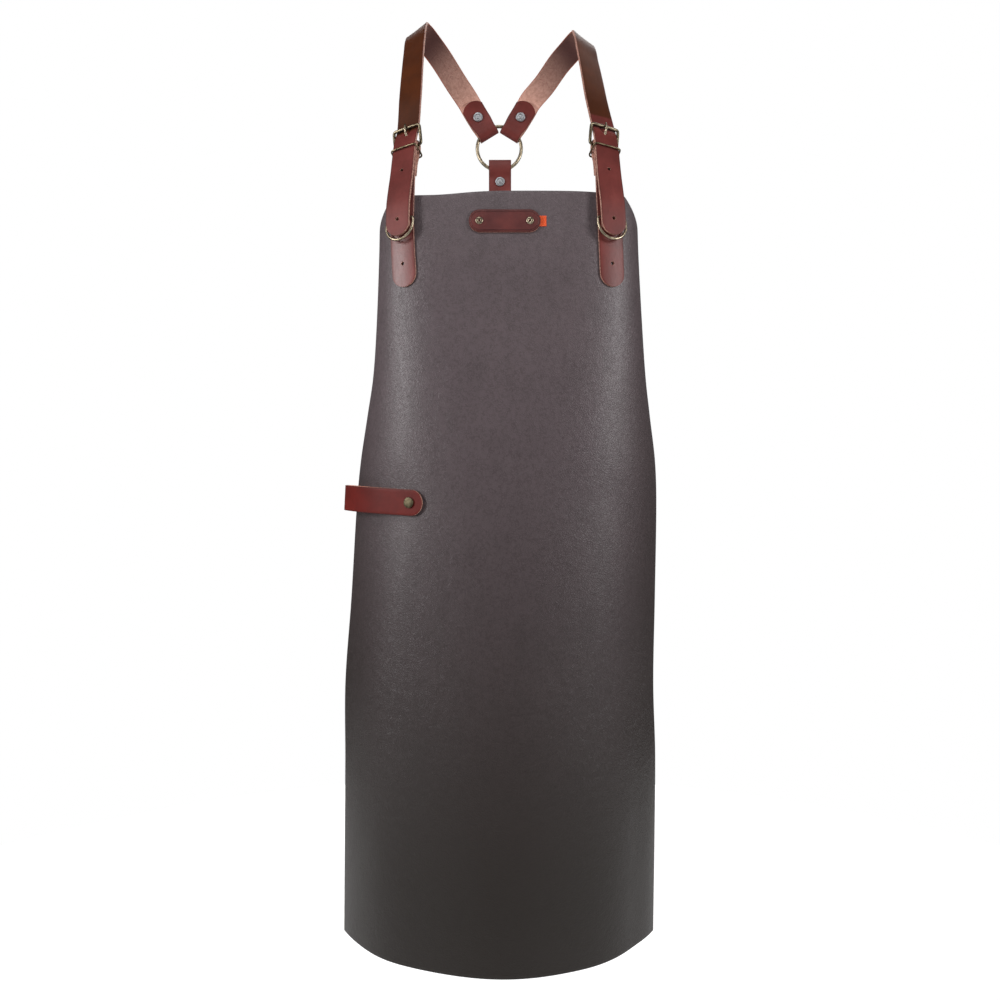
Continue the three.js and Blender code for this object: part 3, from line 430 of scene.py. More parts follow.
print("a russet strap is", [round(v, 3) for v in tone("#7b3a36")], "in linear light")

# %% [markdown]
# The panel is soft full-grain leather in taupe grey. Two things make it read as leather: a fine
# pebble that breaks up the highlights, and wide, faint changes of tone where the hide was
# stretched. The pebble is a bump made of small cells; the tone is slow noise. Towards the hem
# the colour is painted browner and darker, and where the panel turns away at its sides it is
# painted darker too: both are painted shade, where less light falls. Its inside is the napped
# flesh side.

# %% Finish of the panel
HEM_Z = (PANEL_TOP_Z - PANEL_LENGTH) * MM


def pebble(finish, vector, size):
    """Small rounded cells with fine furrows between them, over a soft unevenness."""
    warped = finish.node("ShaderNodeTexNoise", {}, {"Vector": vector, "Scale": 90.0}, "Color")
    shaken = finish.mix(0.012, vector, warped, "ADD")
    crowns = finish.cells(shaken, 1 / size, "DISTANCE_TO_EDGE").ramp(0.0, 0.25)
    grain = finish.noise(vector, 0.55 / size, 4.0, 0.6)
    return crowns, grain


def panel_grain():
    finish = Finish("panel_grain")
    place = finish.place()
    x, y, z = finish.parts(place)
    # down runs from 0 at the hem to 1 near the top. It carries painted shade: the colour darkens, and its
    # lighter clouds fade, towards the hem, where less light falls.
    down = z.ramp(HEM_Z + 0.05, PANEL_TOP_Z * MM - 0.12)
    clouds = finish.noise(place, 5.5, 3.0, 0.55)
    veins = finish.noise(finish.stretched(place, (1.0, 1.0, 0.45)), 38.0, 5.0, 0.62)
    colour = finish.mix(down, tone("#17100b"), tone("#4f4548"))
    colour = finish.mix(clouds.ramp(0.3, 0.75) * down * 0.2, colour, tone("#564b4c"))
    colour = finish.mix(veins.ramp(0.42, 0.7) * 0.14, colour, tone("#1c1614"))
    # Painted shade: the sides, where the panel turns away from the light, are darkened.
    painted_side_shade = x.size().ramp(0.13, 0.19)
    colour = finish.mix(painted_side_shade * 0.5, colour, tone("#1a130f"))
    crowns, grain = pebble(finish, place, 0.0026)
    furrows = (1 - crowns) * grain.ramp(0.35, 0.6)
    colour = finish.mix(furrows * 0.3, colour, tone("#17110e"))
    finish.set(Base_Color=colour, Roughness=0.38 + veins * 0.1, Specular_IOR_Level=0.3)
    finish.set(Normal=finish.bump(crowns * 0.5 + grain, 0.0002))
    return finish.material


def nap(name, light, dark):
    """The flesh side of leather: matt, fibrous and paler."""
    finish = Finish(name)
    place = finish.place()
    fibres = finish.noise(place, 900.0, 4.0, 0.7)
    patches = finish.noise(place, 260.0, 4.0, 0.6)
    colour = finish.mix(patches.ramp(0.3, 0.72), light, dark)
    colour = finish.mix(fibres.ramp(0.55, 0.8) * 0.35, colour, light)
    finish.set(Base_Color=colour, Roughness=0.9, Specular_IOR_Level=0.2)
    finish.set(Normal=finish.bump(fibres + patches * 0.6, 0.0003))
    finish.shader.inputs["Sheen Weight"].default_value = 0.25
    finish.shader.inputs["Sheen Roughness"].default_value = 0.6
    return finish.material


PANEL_GRAIN = panel_grain()
PANEL_NAP = nap("panel_nap", tone("#5f514a"), tone("#51443d"))
PANEL_EDGE = nap("panel_edge", tone("#5d4d47"), tone("#3b2f2b"))
print("panel finishes:", PANEL_GRAIN.name, PANEL_NAP.name, PANEL_EDGE.name)

# %% [markdown]
# The straps are firm vegetable-tanned leather, dyed through from the grain side in russet and
# waxed. Every strap carries a flat UV map in metres: u across it from its middle, v along it
# from its first end. With it the finish can follow the strap round every bend: darker burnished
# edges, a dark brown stretch over the shoulders, creases across a fold.

# %% Finish of the straps
RUSSET = tone("#652a26")
RUSSET_DEEP = tone("#521f1b")
RUSSET_PALE = tone("#7d433d")
BROWN = tone("#471d00")
BROWN_DEEP = tone("#3a1600")
LOOP_RED = (tone("#4a0f0a"), tone("#5c1711"), tone("#66211a"))


def strap_grain(name, half_width, brown=None, creases=0.0, gloss=0.28, rough=0.42, dye=None):
    """brown: the stretch of v, in metres, where the strap is dark brown; dye: its other tones."""
    finish = Finish(name)
    place = finish.place()
    flat = finish.place("UV")
    u, v, w = finish.parts(flat)
    clouds = finish.noise(place, 24.0, 4.0, 0.6)
    pores = finish.noise(place, 1500.0, 3.0, 0.7)
    streaks = finish.noise(finish.stretched(flat, (1.0, 0.2, 1.0)), 320.0, 4.0, 0.65)
    deep, middle, pale = dye or (RUSSET_DEEP, RUSSET, RUSSET_PALE)
    colour = finish.mix(clouds.ramp(0.3, 0.72), deep, middle)
    colour = finish.mix(clouds.ramp(0.55, 0.85) * 0.35, colour, pale)
    if brown:
        start, end = brown
        inside = v.ramp(start - 0.001, start + 0.003) * (1 - v.ramp(end - 0.02, end + 0.02))
        shade = finish.mix(clouds.ramp(0.35, 0.7), BROWN_DEEP, BROWN)
        colour = finish.mix(inside, colour, shade)
    colour = finish.mix(streaks.ramp(0.5, 0.8) * 0.22, colour, BROWN_DEEP)
    burnish = u.size().ramp((half_width - 1.6) * MM, (half_width - 0.2) * MM)
    colour = finish.mix(burnish * 0.75, colour, tone("#3d1512"))
    relief = pores * 0.1 + streaks * 0.4 + clouds * 0.8
    if creases:
        wrinkle = finish.noise(finish.stretched(flat, (0.35, 1.0, 1.0)), 420.0, 3.0, 0.55)
        relief = relief + wrinkle * creases
    finish.set(Base_Color=colour, Roughness=rough + streaks * 0.14 + clouds * 0.06)
    finish.set(Normal=finish.bump(relief, 0.00012), Specular_IOR_Level=gloss)
    return finish.material


def strap_flesh(name, dark=None):
    """dark: the v, in metres, over the shoulder about which the flesh side is painted dark, as painted
    shade.
    """
    finish = Finish(name)
    place = finish.place()
    flat = finish.place("UV")
    u, v, w = finish.parts(flat)
    fibres = finish.noise(place, 1100.0, 3.0, 0.7)
    patches = finish.noise(finish.stretched(flat, (1.0, 0.6, 1.0)), 330.0, 5.0, 0.7)
    wrinkle = finish.cells(finish.stretched(flat, (1.0, 0.8, 1.0)), 95.0, "DISTANCE_TO_EDGE")
    crease = 1 - wrinkle.ramp(0.0, 0.05)
    colour = finish.mix(patches.ramp(0.32, 0.7) * 0.7, tone("#d2a595"), tone("#b07f70"))
    colour = finish.mix(crease * 0.2, colour, tone("#8a5547"))
    if dark is not None:
        # Painted shade: the flesh side darkens within 0.1 m of the v given by dark, over the shoulder.
        wear_and_shade = 1 - (v - dark).size().ramp(0.0, 0.1)
        colour = finish.mix(wear_and_shade, colour, tone("#3d1f1b"))
    edge = u.size().ramp(0.0138, 0.0148)
    colour = finish.mix(edge * 0.6, colour, tone("#9c4420"))
    finish.set(Base_Color=colour, Roughness=0.78, Specular_IOR_Level=0.3)
    finish.set(Normal=finish.bump(fibres * 0.5 + patches * 0.6 - crease * 0.5, 0.00025))
    return finish.material


def strap_edge():
    finish = Finish("strap_cut_edge")
    place = finish.place()
    layers = finish.noise(place, 700.0, 3.0, 0.6)
    colour = finish.mix(layers.ramp(0.35, 0.68), tone("#623a2f"), tone("#b08575"))
    finish.set(Base_Color=colour, Roughness=0.62, Normal=finish.bump(layers, 0.0002))
    return finish.material


CUT_EDGE = strap_edge()
print("strap finishes share the cut edge", CUT_EDGE.name)

# %% [markdown]
# The metal is cast or bent and then aged: dark in the corners and rubbed bright on its crests.
# Pointiness needs the render's own geometry, so slow noise stands for the patina, and small
# scratches vary the gloss.

# %% Finishes of the metal and the ribbon


def metal(name, bright, dark, roughness, patina=0.5):
    finish = Finish(name)
    place = finish.place()
    stain = finish.noise(place, 130.0, 4.0, 0.62)
    scratch = finish.noise(finish.stretched(place, (1.0, 1.0, 0.2)), 1900.0, 3.0, 0.6)
    colour = finish.mix(stain.ramp(0.38, 0.66) * patina, bright, dark)
    wear_and_shade = roughness + stain * 0.14 + scratch * 0.06
    finish.set(Base_Color=colour, Metallic=1.0, Roughness=wear_and_shade)
    finish.set(Normal=finish.bump(stain, 0.000006))
    return finish.material


def woven_ribbon():
    finish = Finish("woven_ribbon")
    flat = finish.place("UV")
    u, v, w = finish.parts(flat)
    warp = (u * 5200.0).math("SINE")
    weft = (v * 5200.0).math("SINE")
    weave = warp * weft
    colour = finish.mix(weave.ramp(-0.6, 0.8), tone("#a83408"), tone("#ee5a1e"))
    finish.set(Base_Color=colour, Roughness=0.8, Normal=finish.bump(weave, 0.0002))
    return finish.material


ANTIQUE_BRASS = metal("antique_brass", tone("#665a47"), tone("#281e12"), 0.3, 0.7)
PALE_BRASS = metal("pale_brass", tone("#9b8f7b"), tone("#4b3f2d"), 0.26, 0.6)
BUCKLE_BRASS = metal("buckle_brass", tone("#746a58"), tone("#221a10"), 0.26, 0.8)
DARK_BRASS = metal("dark_brass", tone("#514a3a"), tone("#1d1810"), 0.4, 0.6)
NICKEL = metal("aged_nickel", tone("#96979a"), tone("#58585a"), 0.4, 0.35)
RIBBON = woven_ribbon()
print("metals:", ANTIQUE_BRASS.name, PALE_BRASS.name, NICKEL.name)

# %% [markdown]
# All soft pieces but the label are strips: a flat cut of leather led along a route. A strip
# starts as one bmesh grid. Its vertices are then carried to the route, row by row, and its UV
# map keeps the flat cut. Solidify gives the thickness, with its own materials for the flesh
# side and the rim, Bevel rounds the rim, and Boolean punches the holes with a flared punch, so
# each hole has a pale lip like a real one.

# %% A smooth route through points


def route_point(points, k, t):
    """A point of a centripetal curve between points k and k + 1."""
    p1, p2 = points[k], points[k + 1]
    p0 = points[k - 1] if k > 0 else p1 * 2 - p2
    p3 = points[k + 2] if k + 2 < len(points) else p2 * 2 - p1
    d0, d1, d2 = ((b - a).length ** 0.5 for a, b in ((p0, p1), (p1, p2), (p2, p3)))
    d1 = max(d1, 1e-4)
    d0, d2 = d0 if d0 > 1e-4 else d1, d2 if d2 > 1e-4 else d1
    m1 = ((p1 - p0) / d0 - (p2 - p0) / (d0 + d1) + (p2 - p1) / d1) * d1
    m2 = ((p2 - p1) / d1 - (p3 - p1) / (d1 + d2) + (p3 - p2) / d2) * d1
    t2, t3 = t * t, t * t * t
    return (
        p1 * (2 * t3 - 3 * t2 + 1)
        + m1 * (t3 - 2 * t2 + t)
        + p2 * (3 * t2 - 2 * t3)
        + m2 * (t3 - t2)
    )


def route_stations(knots, step, turn):
    """Places along a route, at each knot and as often as step and turn ask."""
    points = [knot["point"] for knot in knots]
    stations, length = [], 0.0
    last = None
    for k in range(len(points) - 1):
        fine = [route_point(points, k, i / 12) for i in range(13)]
        long = sum((b - a).length for a, b in zip(fine, fine[1:]))
        bent = sum(
            (fine[i] - fine[i - 1]).angle(fine[i + 1] - fine[i], 0) for i in range(1, 12)
        )
        parts = max(1, ceil(long / step), ceil(bent / turn))
        for i in range(parts + (k == len(points) - 2)):
            t = i / parts
            here = route_point(points, k, t)
            if last is not None:
                length += (here - last).length
            last = here
            ahead = route_point(points, k, min(t + 0.01, 1))
            behind = route_point(points, k, max(t - 0.01, 0))
            a, b = knots[k], knots[k + 1]
            stations.append(
                {
                    "at": length,
                    "point": here,
                    "along": (ahead - behind).normalized(),
                    "over": a["over"].lerp(b["over"], t),
                    "curve": a.get("curve", 0) * (1 - t) + b.get("curve", 0) * t,
                    "scale": a.get("scale", 1) * (1 - t) + b.get("scale", 1) * t,
                }
            )
    return stations


def station_at(stations, at):
    """The place at a length along the route, between two stations."""
    i = 0
    while i < len(stations) - 2 and stations[i + 1]["at"] < at:
        i += 1
    a, b = stations[i], stations[i + 1]
    t = clamp((at - a["at"]) / max(b["at"] - a["at"], 1e-6))
    made = {"at": at}
    for key in ("point", "along", "over"):
        made[key] = a[key].lerp(b[key], t)
    for key in ("curve", "scale"):
        made[key] = a[key] * (1 - t) + b[key] * t
    return made


# %% The rows of a strip, with round ends


def strip_rows(stations, half, start_radius, end_radius):
    length = stations[-1]["at"]
    caps = 9

    def cap(radius):
        full = asin(min(1, half / radius))
        angles = [0.06 + (full - 0.06) * i / caps for i in range(caps + 1)]
        return [(radius * (1 - cos(a)), radius * sin(a)) for a in angles]

    first = cap(start_radius) if start_radius else [(0, half)]
    last = cap(end_radius) if end_radius else [(0, half)]
    rows = [(at, wide) for at, wide in first]
    low, high = rows[-1][0] + 0.7, length - last[-1][0] - 0.7
    rows += [(s["at"], half) for s in stations if low < s["at"] < high]
    rows += [(length - at, wide) for at, wide in reversed(last)]
    return [dict(station_at(stations, at), half=wide) for at, wide in rows]


def new_object(name, bm, materials, smooth_angle=40):
    """A mesh object at the origin from a bmesh in millimetres."""
    bmesh.ops.scale(bm, vec=(MM, MM, MM), verts=bm.verts)
    mesh = bpy.data.meshes.new(name)
    for face in bm.faces:
        face.smooth = True
    bm.to_mesh(mesh)
    bm.free()
    for material in materials:
        mesh.materials.append(material)
    mesh.set_sharp_from_angle(angle=radians(smooth_angle))
    obj = bpy.data.objects.new(name, mesh)
    bpy.context.scene.collection.objects.link(obj)
    return obj


def finish_mesh(obj, smooth_angle=40):
    """Applies an object's modifiers, so that its mesh is its final shape."""
    depsgraph = bpy.context.evaluated_depsgraph_get()
    made = bpy.data.meshes.new_from_object(
        obj.evaluated_get(depsgraph), preserve_all_data_layers=True, depsgraph=depsgraph
    )
    obj.modifiers.clear()
    obj.data = made
    made.set_sharp_from_angle(angle=radians(smooth_angle))
    return obj


def stand_for(piece, *nodes, body="apron", slot="leather"):
    """The piece takes the place of its CAD nodes and rides where they ride."""
    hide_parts(*nodes)
    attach(piece, body)
    print(piece.name, "stands for", ", ".join(nodes), "with", len(piece.data.polygons), "faces")
    return piece


def punch(frame_at, radius, depth, flare=0.35):
    """A cutter for a punched hole: a pin that opens out at both faces of the leather."""
    bm = bmesh.new()
    profile = [(0, -depth), (radius + flare * 2, -depth), (radius + flare, -STRAP_THICK / 2)]
    profile += [(radius, flare - STRAP_THICK / 2), (radius, STRAP_THICK / 2 - flare)]
    profile += [(radius + flare, STRAP_THICK / 2), (radius + flare * 2, depth), (0, depth)]
    verts = [bm.verts.new((x, 0, z)) for x, z in profile]
    edges = [bm.edges.new(pair) for pair in zip(verts, verts[1:])]
    bmesh.ops.spin(
        bm, geom=verts + edges, cent=(0, 0, 0), axis=(0, 0, 1), angle=2 * pi, steps=28, use_merge=True
    )
    bmesh.ops.remove_doubles(bm, verts=bm.verts, dist=1e-4)
    bmesh.ops.recalc_face_normals(bm, faces=bm.faces)
    bmesh.ops.transform(bm, matrix=matrix_of(frame_at), verts=bm.verts)
    return new_object("punch", bm, [CUT_EDGE])


def matrix_of(place):
    """The 4x4 matrix that carries x to over, y to up and z to out."""
    columns = [place["over"], place["up"], place["out"], place["origin"]]
    return Matrix([[c[i] for c in columns] for i in range(3)] + [[0, 0, 0, 1]])


def leather_strip(name, knots, width, thick, materials, ends, cutters=(), step=3.0, columns=8):
    """A strip of leather along knots, with a flat UV map, rounded rims and punched holes."""
    stations = route_stations(knots, step, radians(7))
    rows = strip_rows(stations, width / 2, *ends)
    bm = bmesh.new()
    uv_name = "flat"
    layer = bm.loops.layers.uv.new(uv_name)
    bmesh.ops.create_grid(bm, x_segments=columns, y_segments=len(rows) - 1, size=0.5)
    flat = {}
    for vert in bm.verts:
        row = rows[round((vert.co.y + 0.5) * (len(rows) - 1))]
        over = (row["over"] - row["along"] * row["over"].dot(row["along"])).normalized()
        normal = over.cross(row["along"]).normalized()
        side = 2 * vert.co.x * row["half"] * row["scale"]
        flat[vert] = (2 * vert.co.x * row["half"] * MM, row["at"] * MM)
        vert.co = row["point"] + over * side - normal * (row["curve"] * side * side / 2)
    for face in bm.faces:
        for loop in face.loops:
            loop[layer].uv = flat[loop.vert]
    bm.normal_update()
    aim = rows[len(rows) // 2]
    middle = min(bm.faces, key=lambda f: (f.calc_center_median() - aim["point"]).length)
    if middle.normal.dot(aim["over"].cross(aim["along"])) < 0:
        bmesh.ops.reverse_faces(bm, faces=bm.faces)
    obj = new_object(name, bm, materials)
    wall = obj.modifiers.new("wall", "SOLIDIFY")
    wall.thickness = thick * MM
    wall.offset = 0
    wall.use_even_offset = False
    wall.material_offset = 1
    wall.material_offset_rim = 2
    rim = obj.modifiers.new("rim", "BEVEL")
    rim.width = thick * 0.2 * MM
    rim.segments = 3
    rim.limit_method = "ANGLE"
    rim.angle_limit = radians(50)
    for cutter in cutters:
        hole = obj.modifiers.new("hole", "BOOLEAN")
        hole.object = cutter
        hole.solver = "EXACT"
        hole.material_mode = "TRANSFER"
    finish_mesh(obj)
    for cutter in cutters:
        bpy.data.objects.remove(cutter)
    print(name, "is", round(rows[-1]["at"]), "mm long")
    return obj


# %% [markdown]
# The hardware is bent wire and turned rivets. A wire is a grid too, rolled into a tube along
# its bends and closed by merging its doubles. A rivet is half an outline, spun round its axis.

# %% Wires and rivets


def arc(x, y, radius, start, end, count):
    angles = [radians(start + (end - start) * i / count) for i in range(count + 1)]
    return [(x + radius * cos(a), y + radius * sin(a)) for a in angles]


def rounded_frame(half_x, half_y, corner):
    x, y = half_x - corner, half_y - corner
    return [
        *arc(x, y, corner, 0, 90, 4),
        *arc(-x, y, corner, 90, 180, 4),
        *arc(-x, -y, corner, 180, 270, 4),
        *arc(x, -y, corner, 270, 360, 4),
    ]


def wire(bm, points, radius, closed, around=16, step=0.9, tips=0.0):
    """Adds a wire through 3-D points to a bmesh, round-ended where it isn't closed."""
    if closed:
        loop = points[:-1] if (points[0] - points[-1]).length < 1e-3 else points
        points = [*loop[-2:], *loop, *loop[:2]]
        spans = range(2, len(points) - 2)
    else:
        spans = range(len(points) - 1)
    line = []
    for k in spans:
        long = (points[k + 1] - points[k]).length
        parts = max(2, ceil(long / step))
        line += [route_point(points, k, i / parts) for i in range(parts)]
    line.append(line[0].copy() if closed else points[-1].copy())
    radii = [radius] * len(line)
    if not closed and tips:
        for i in range(5):
            radii[-1 - i] = radius * sqrt(1 - (1 - (i + 0.15) / 5.2) ** 2)
    grid = bmesh.ops.create_grid(bm, x_segments=around, y_segments=len(line) - 1, size=0.5)
    tangents = []
    for i in range(len(line)):
        a = line[i - 1] if i else (line[-2] if closed else line[0])
        b = line[i + 1] if i + 1 < len(line) else (line[1] if closed else line[-1])
        tangents.append((b - a).normalized())
    normal = tangents[0].orthogonal().normalized()
    frames = []
    for tangent in tangents:
        normal = (normal - tangent * normal.dot(tangent)).normalized()
        frames.append((normal, tangent.cross(normal)))
    for vert in grid["verts"]:
        i = round((vert.co.y + 0.5) * (len(line) - 1))
        angle = 2 * pi * (vert.co.x + 0.5)
        if closed and i == len(line) - 1:
            i = 0
        a, b = frames[i]
        vert.co = line[i] + (a * cos(angle) + b * sin(angle)) * radii[i]
    bmesh.ops.remove_doubles(bm, verts=bm.verts, dist=1e-3)
    rims = [edge for edge in bm.edges if edge.is_boundary]
    bmesh.ops.holes_fill(bm, edges=rims, sides=around + 2)
    bmesh.ops.recalc_face_normals(bm, faces=bm.faces)


def in_plane(points, origin, x, y):
    return [origin + x * a + y * b for a, b in points]


def turned(name, profile, place, materials, steps=48):
    """A piece spun from (radius, height) pairs about the frame's out direction."""
    bm = bmesh.new()
    verts = [bm.verts.new((r, 0, h)) for r, h in profile]
    edges = [bm.edges.new(pair) for pair in zip(verts, verts[1:])]
    bmesh.ops.spin(
        bm, geom=verts + edges, cent=(0, 0, 0), axis=(0, 0, 1), angle=2 * pi, steps=steps,
        use_merge=True,
    )
    bmesh.ops.remove_doubles(bm, verts=bm.verts, dist=1e-4)
    bmesh.ops.recalc_face_normals(bm, faces=bm.faces)
    bmesh.ops.transform(bm, matrix=matrix_of(place), verts=bm.verts)
    return new_object(name, bm, materials, 32)


def rivet_profile(low, high, cap=RIVET_CAP, height=RIVET_HEIGHT, disc=True):
    """A cap with a rounded shoulder; disc: with a shallow groove round a raised middle."""

    def face(sign, base):
        outer = arc(cap - 0.35 * height, 0.42 * height, 0.35 * height, 0, 80, 5)
        made = [(cap, 0.05 * height)] + outer
        if not disc:
            dome = [(cap * share, height * (1 - 0.22 * share * share)) for share in (0.6, 0.4, 0.2, 0)]
            return [(r, base + sign * h) for r, h in made + dome]
        made += [(cap * 0.68, 0.9 * height), (cap * 0.6, 0.86 * height)]
        made += [(cap * 0.56, 0.68 * height), (cap * 0.5, 0.68 * height)]
        made += [(cap * 0.46, 0.86 * height), (cap * 0.38, 0.97 * height)]
        made += [(cap * 0.2, height), (0, height)]
        return [(r, base + sign * h) for r, h in made]

    bottom = [(r, h) for r, h in reversed(face(-1, low))]
    return [*bottom, (cap, low), (RIVET_SHANK, low), (RIVET_SHANK, high), (cap, high), *face(1, high)]


print("helpers for strips, wires and rivets are ready")

# %% [markdown]
# The panel is the one large cut of leather. It begins as a flat grid, finer than its folds, and
# every vertex is carried to the panel's surface. The armholes are cut away at the top corners.
# Leather this soft never hangs quite evenly, so below the chest the face also gets a few long,
# shallow folds, which fade out under the tabs, the label and the towel loop. Last, Solidify
# gives it its thickness.

# %% The panel
PANEL_COLUMNS = 110
PANEL_ROWS = 220
# Long folds of the skirt: across, as a share of the half width; width of the fold, the same;
# start and full: how far down it begins and is full, in mm; depth in mm, + away from the wearer.
FOLD_COLUMNS = ["across", "width", "start", "full", "depth"]
FOLDS = [
    dict(zip(FOLD_COLUMNS, row))
    for row in [
        (-0.62, 0.16, 130, 420, 2.2),
        (-0.3, 0.2, 200, 620, -1.6),
        (0.1, 0.22, 260, 700, 1.4),
        (0.52, 0.17, 120, 430, 2.0),
        (0.8, 0.12, 330, 640, -1.5),
    ]
]


def fold_depth(share, down):
    total = 0.0
    for fold in FOLDS:
        ridge = exp(-(((share - fold["across"]) / fold["width"]) ** 2))
        total += fold["depth"] * ridge * smooth(down, fold["start"], fold["full"])
    towel = exp(-(((share + 0.75) / 0.3) ** 2) - ((down - TOWEL_DROP) / 45) ** 2)
    waist = smooth(abs(share), 0.8, 0.9) * exp(-(((down - WAIST_DROP) / 40) ** 2))
    return total * (1 - clamp(towel * 1.6)) * (1 - clamp(waist * 1.5))


def make_panel():
    bm = bmesh.new()
    layer = bm.loops.layers.uv.new("flat")
    bmesh.ops.create_grid(bm, x_segments=PANEL_COLUMNS, y_segments=PANEL_ROWS, size=0.5)
    flat = {}
    for vert in bm.verts:
        down = PANEL_LENGTH * clamp(0.5 - vert.co.y)
        full = section_at(PANEL_TOP_Z - down)[2]
        cut = min(1, down / ARMHOLE_DROP)
        across = 2 * vert.co.x * (TOP_EDGE_HALF + (full - TOP_EDGE_HALF) * cut)
        wave = exp(-(((across / TOP_EDGE_HALF + 0.6) / 0.3) ** 2)) * exp(-down / 60)
        z = PANEL_TOP_Z - down - TOP_EDGE_DIP * wave
        vert.co = over_panel(across, z, fold_depth(across / full, down))
        flat[vert] = (across * MM, -down * MM)
    for face in bm.faces:
        for loop in face.loops:
            loop[layer].uv = flat[loop.vert]
    bm.normal_update()
    if sum(face.normal.y for face in bm.faces) > 0:
        bmesh.ops.reverse_faces(bm, faces=bm.faces)
    obj = new_object("panel_leather", bm, [PANEL_GRAIN, PANEL_NAP, PANEL_EDGE])
    wall = obj.modifiers.new("wall", "SOLIDIFY")
    wall.thickness = PANEL_THICK * MM
    wall.offset = 0
    wall.material_offset = 1
    wall.material_offset_rim = 2
    rim = obj.modifiers.new("rim", "BEVEL")
    rim.width = 0.4 * MM
    rim.segments = 2
    rim.limit_method = "ANGLE"
    rim.angle_limit = radians(50)
    return finish_mesh(obj)


def panel_flat_area():
    """Square metres of the cut, in strips 4 mm high."""
    area = 0.0
    for i in range(PANEL_LENGTH // 4):
        down = 4 * i + 2
        full = section_at(PANEL_TOP_Z - down)[2]
        cut = min(1, down / ARMHOLE_DROP)
        area += 8 * (TOP_EDGE_HALF + (full - TOP_EDGE_HALF) * cut) * MM * MM
    return area


panel = stand_for(make_panel(), "apron_panel", slot="panel")
hem_width = 2 * section_at(PANEL_TOP_Z - PANEL_LENGTH)[2] * MM
panel_flat_area()
print("the cut is", round(panel_flat_area(), 3), "square metres")

# %% [markdown]
# A chest tab runs up the panel, round the buckle's hinge bar and a short way down behind
# itself. It is punched for the prong at the fold and for another hole lower down. Its lower end
# is rounded and carries small creases, where it bends each time the wearer stoops.

# %% The chest tabs
TAB_FLESH = strap_flesh("tab_flesh")


def slot_cutter(row):
    """A block through the tab's fold, where the prong swings."""
    place = lane_frame(row, HINGE_Z)
    place = dict(place, origin=in_frame(place, 0, -PRONG_SLOT["down"], 0))
    bm = bmesh.new()
    bmesh.ops.create_cube(bm, size=1)
    size = (PRONG_SLOT["width"], PRONG_SLOT["length"], 14)
    bmesh.ops.scale(bm, vec=size, verts=bm.verts)
    upright = [e for e in bm.edges if abs((e.verts[0].co - e.verts[1].co).z) > 1]
    bmesh.ops.bevel(
        bm, geom=upright, offset=3, affect="EDGES", segments=5, profile=0.5, material=-1
    )
    bmesh.ops.transform(bm, matrix=matrix_of(place), verts=bm.verts)
    return new_object("slot", bm, [CUT_EDGE])


def chest_tab(row):
    # Painted sheen: the left tab gets a higher specular level than the right, so that it shows the stronger
    # sheen of the left light.
    gloss = 0.5 if row["side"] < 0 else 0.26
    grain = strap_grain(
        "tab_grain_" + row["name"], STRAP_WIDTH / 2, creases=0.7, gloss=gloss, rough=0.36
    )
    knots = []
    down = TAB_DROP
    while down > -HINGE_RISE + 12:
        knots.append(lane_at(row, PANEL_TOP_Z - down, TAB_HEIGHT))
        down -= 12
    place = lane_frame(row, HINGE_Z)
    for angle in (0, 45, 90, 135, 180):
        up, out = HINGE_ARC * sin(radians(angle)), HINGE_ARC * cos(radians(angle))
        point = in_frame(place, 0, up, HINGE_HEIGHT + out)
        knots.append({"point": point, "over": place["over"], "scale": FOLD_NARROWS})
    behind = TAB_HEIGHT - STRAP_THICK - GAP
    point = in_frame(place, 0, -7, HINGE_HEIGHT - HINGE_ARC + 0.6)
    knots.append({"point": point, "over": place["over"]})
    for share, part in ((0.45, 0.75), (0.62, 1), (1, 1)):
        height = HINGE_HEIGHT - HINGE_ARC + (behind - HINGE_HEIGHT + HINGE_ARC) * part
        knots.append(lane_at(row, HINGE_Z - TAB_FOLD_LENGTH * share, height))
    hole = lane_frame(row, PANEL_TOP_Z - HOLE_DROPS["tab"])
    hole = dict(hole, origin=in_frame(hole, 0, 0, TAB_HEIGHT))
    return leather_strip(
        "tab_" + row["name"], knots, STRAP_WIDTH, STRAP_THICK, [grain, TAB_FLESH, CUT_EDGE],
        (STRAP_WIDTH / 2, 0), [punch(hole, HOLE_RADIUS, 3), slot_cutter(row)],
    )


for row in SIDES:
    stand_for(chest_tab(row), "chest_tab_" + row["name"])

# %% [markdown]
# A shoulder strap starts at its tip over the tab, passes through the buckle, goes over the
# shoulder and ends in a fold round the back ring. Between the buckle and the ring it hangs
# free, so a short table of knots sets its way and how it twists. Its brown stretch, the painted
# shade on its flesh side over the shoulder and its russet ends are places along v in its UV map.

# %% The shoulder straps
# out: share of SHOULDER_HALF; back: share of RING_BACK; up: share of SHOULDER_RISE over the
# top edge; lift and flare: how much of the side's own applies; width along (1, yaw, roll).
KNOT_COLUMNS = ["out", "back", "up", "lift", "flare", "yaw", "roll"]
SHOULDER_KNOTS = [
    dict(zip(KNOT_COLUMNS, row))
    for row in [
        (1.005, -0.66, 0.523, 0.35, 0.74, -0.55, 0),
        (1.005, -0.46, 0.7, 0.7, 0.44, -0.6, 0.06),
        (1.003, -0.28, 0.844, 0.9, 0.2, -0.52, 0.3),
        (0.998, -0.13, 0.95, 1, 0.07, -0.36, 0.52),
        (0.985, 0, 1, 1, 0, -0.18, 0.66),
        (0.94, 0.13, 1.008, 1, 0, 0, 0.7),
        (0.86, 0.28, 0.99, 0.9, 0, 0.1, 0.72),
        (0.735, 0.5, 0.952, 0.6, 0, 0.1, 0.74),
        (0.565, 0.76, 0.876, 0.3, 0, 0.04, 0.68),
    ]
]
RING_CENTRE = Vector((-1, RING_BACK, PANEL_TOP_Z + 130))
BACK_ANGLE = 121.5
BACK_OFFSET = 3
FOLD_ARC = RING_WIRE + FOLD_GAP + STRAP_THICK / 2
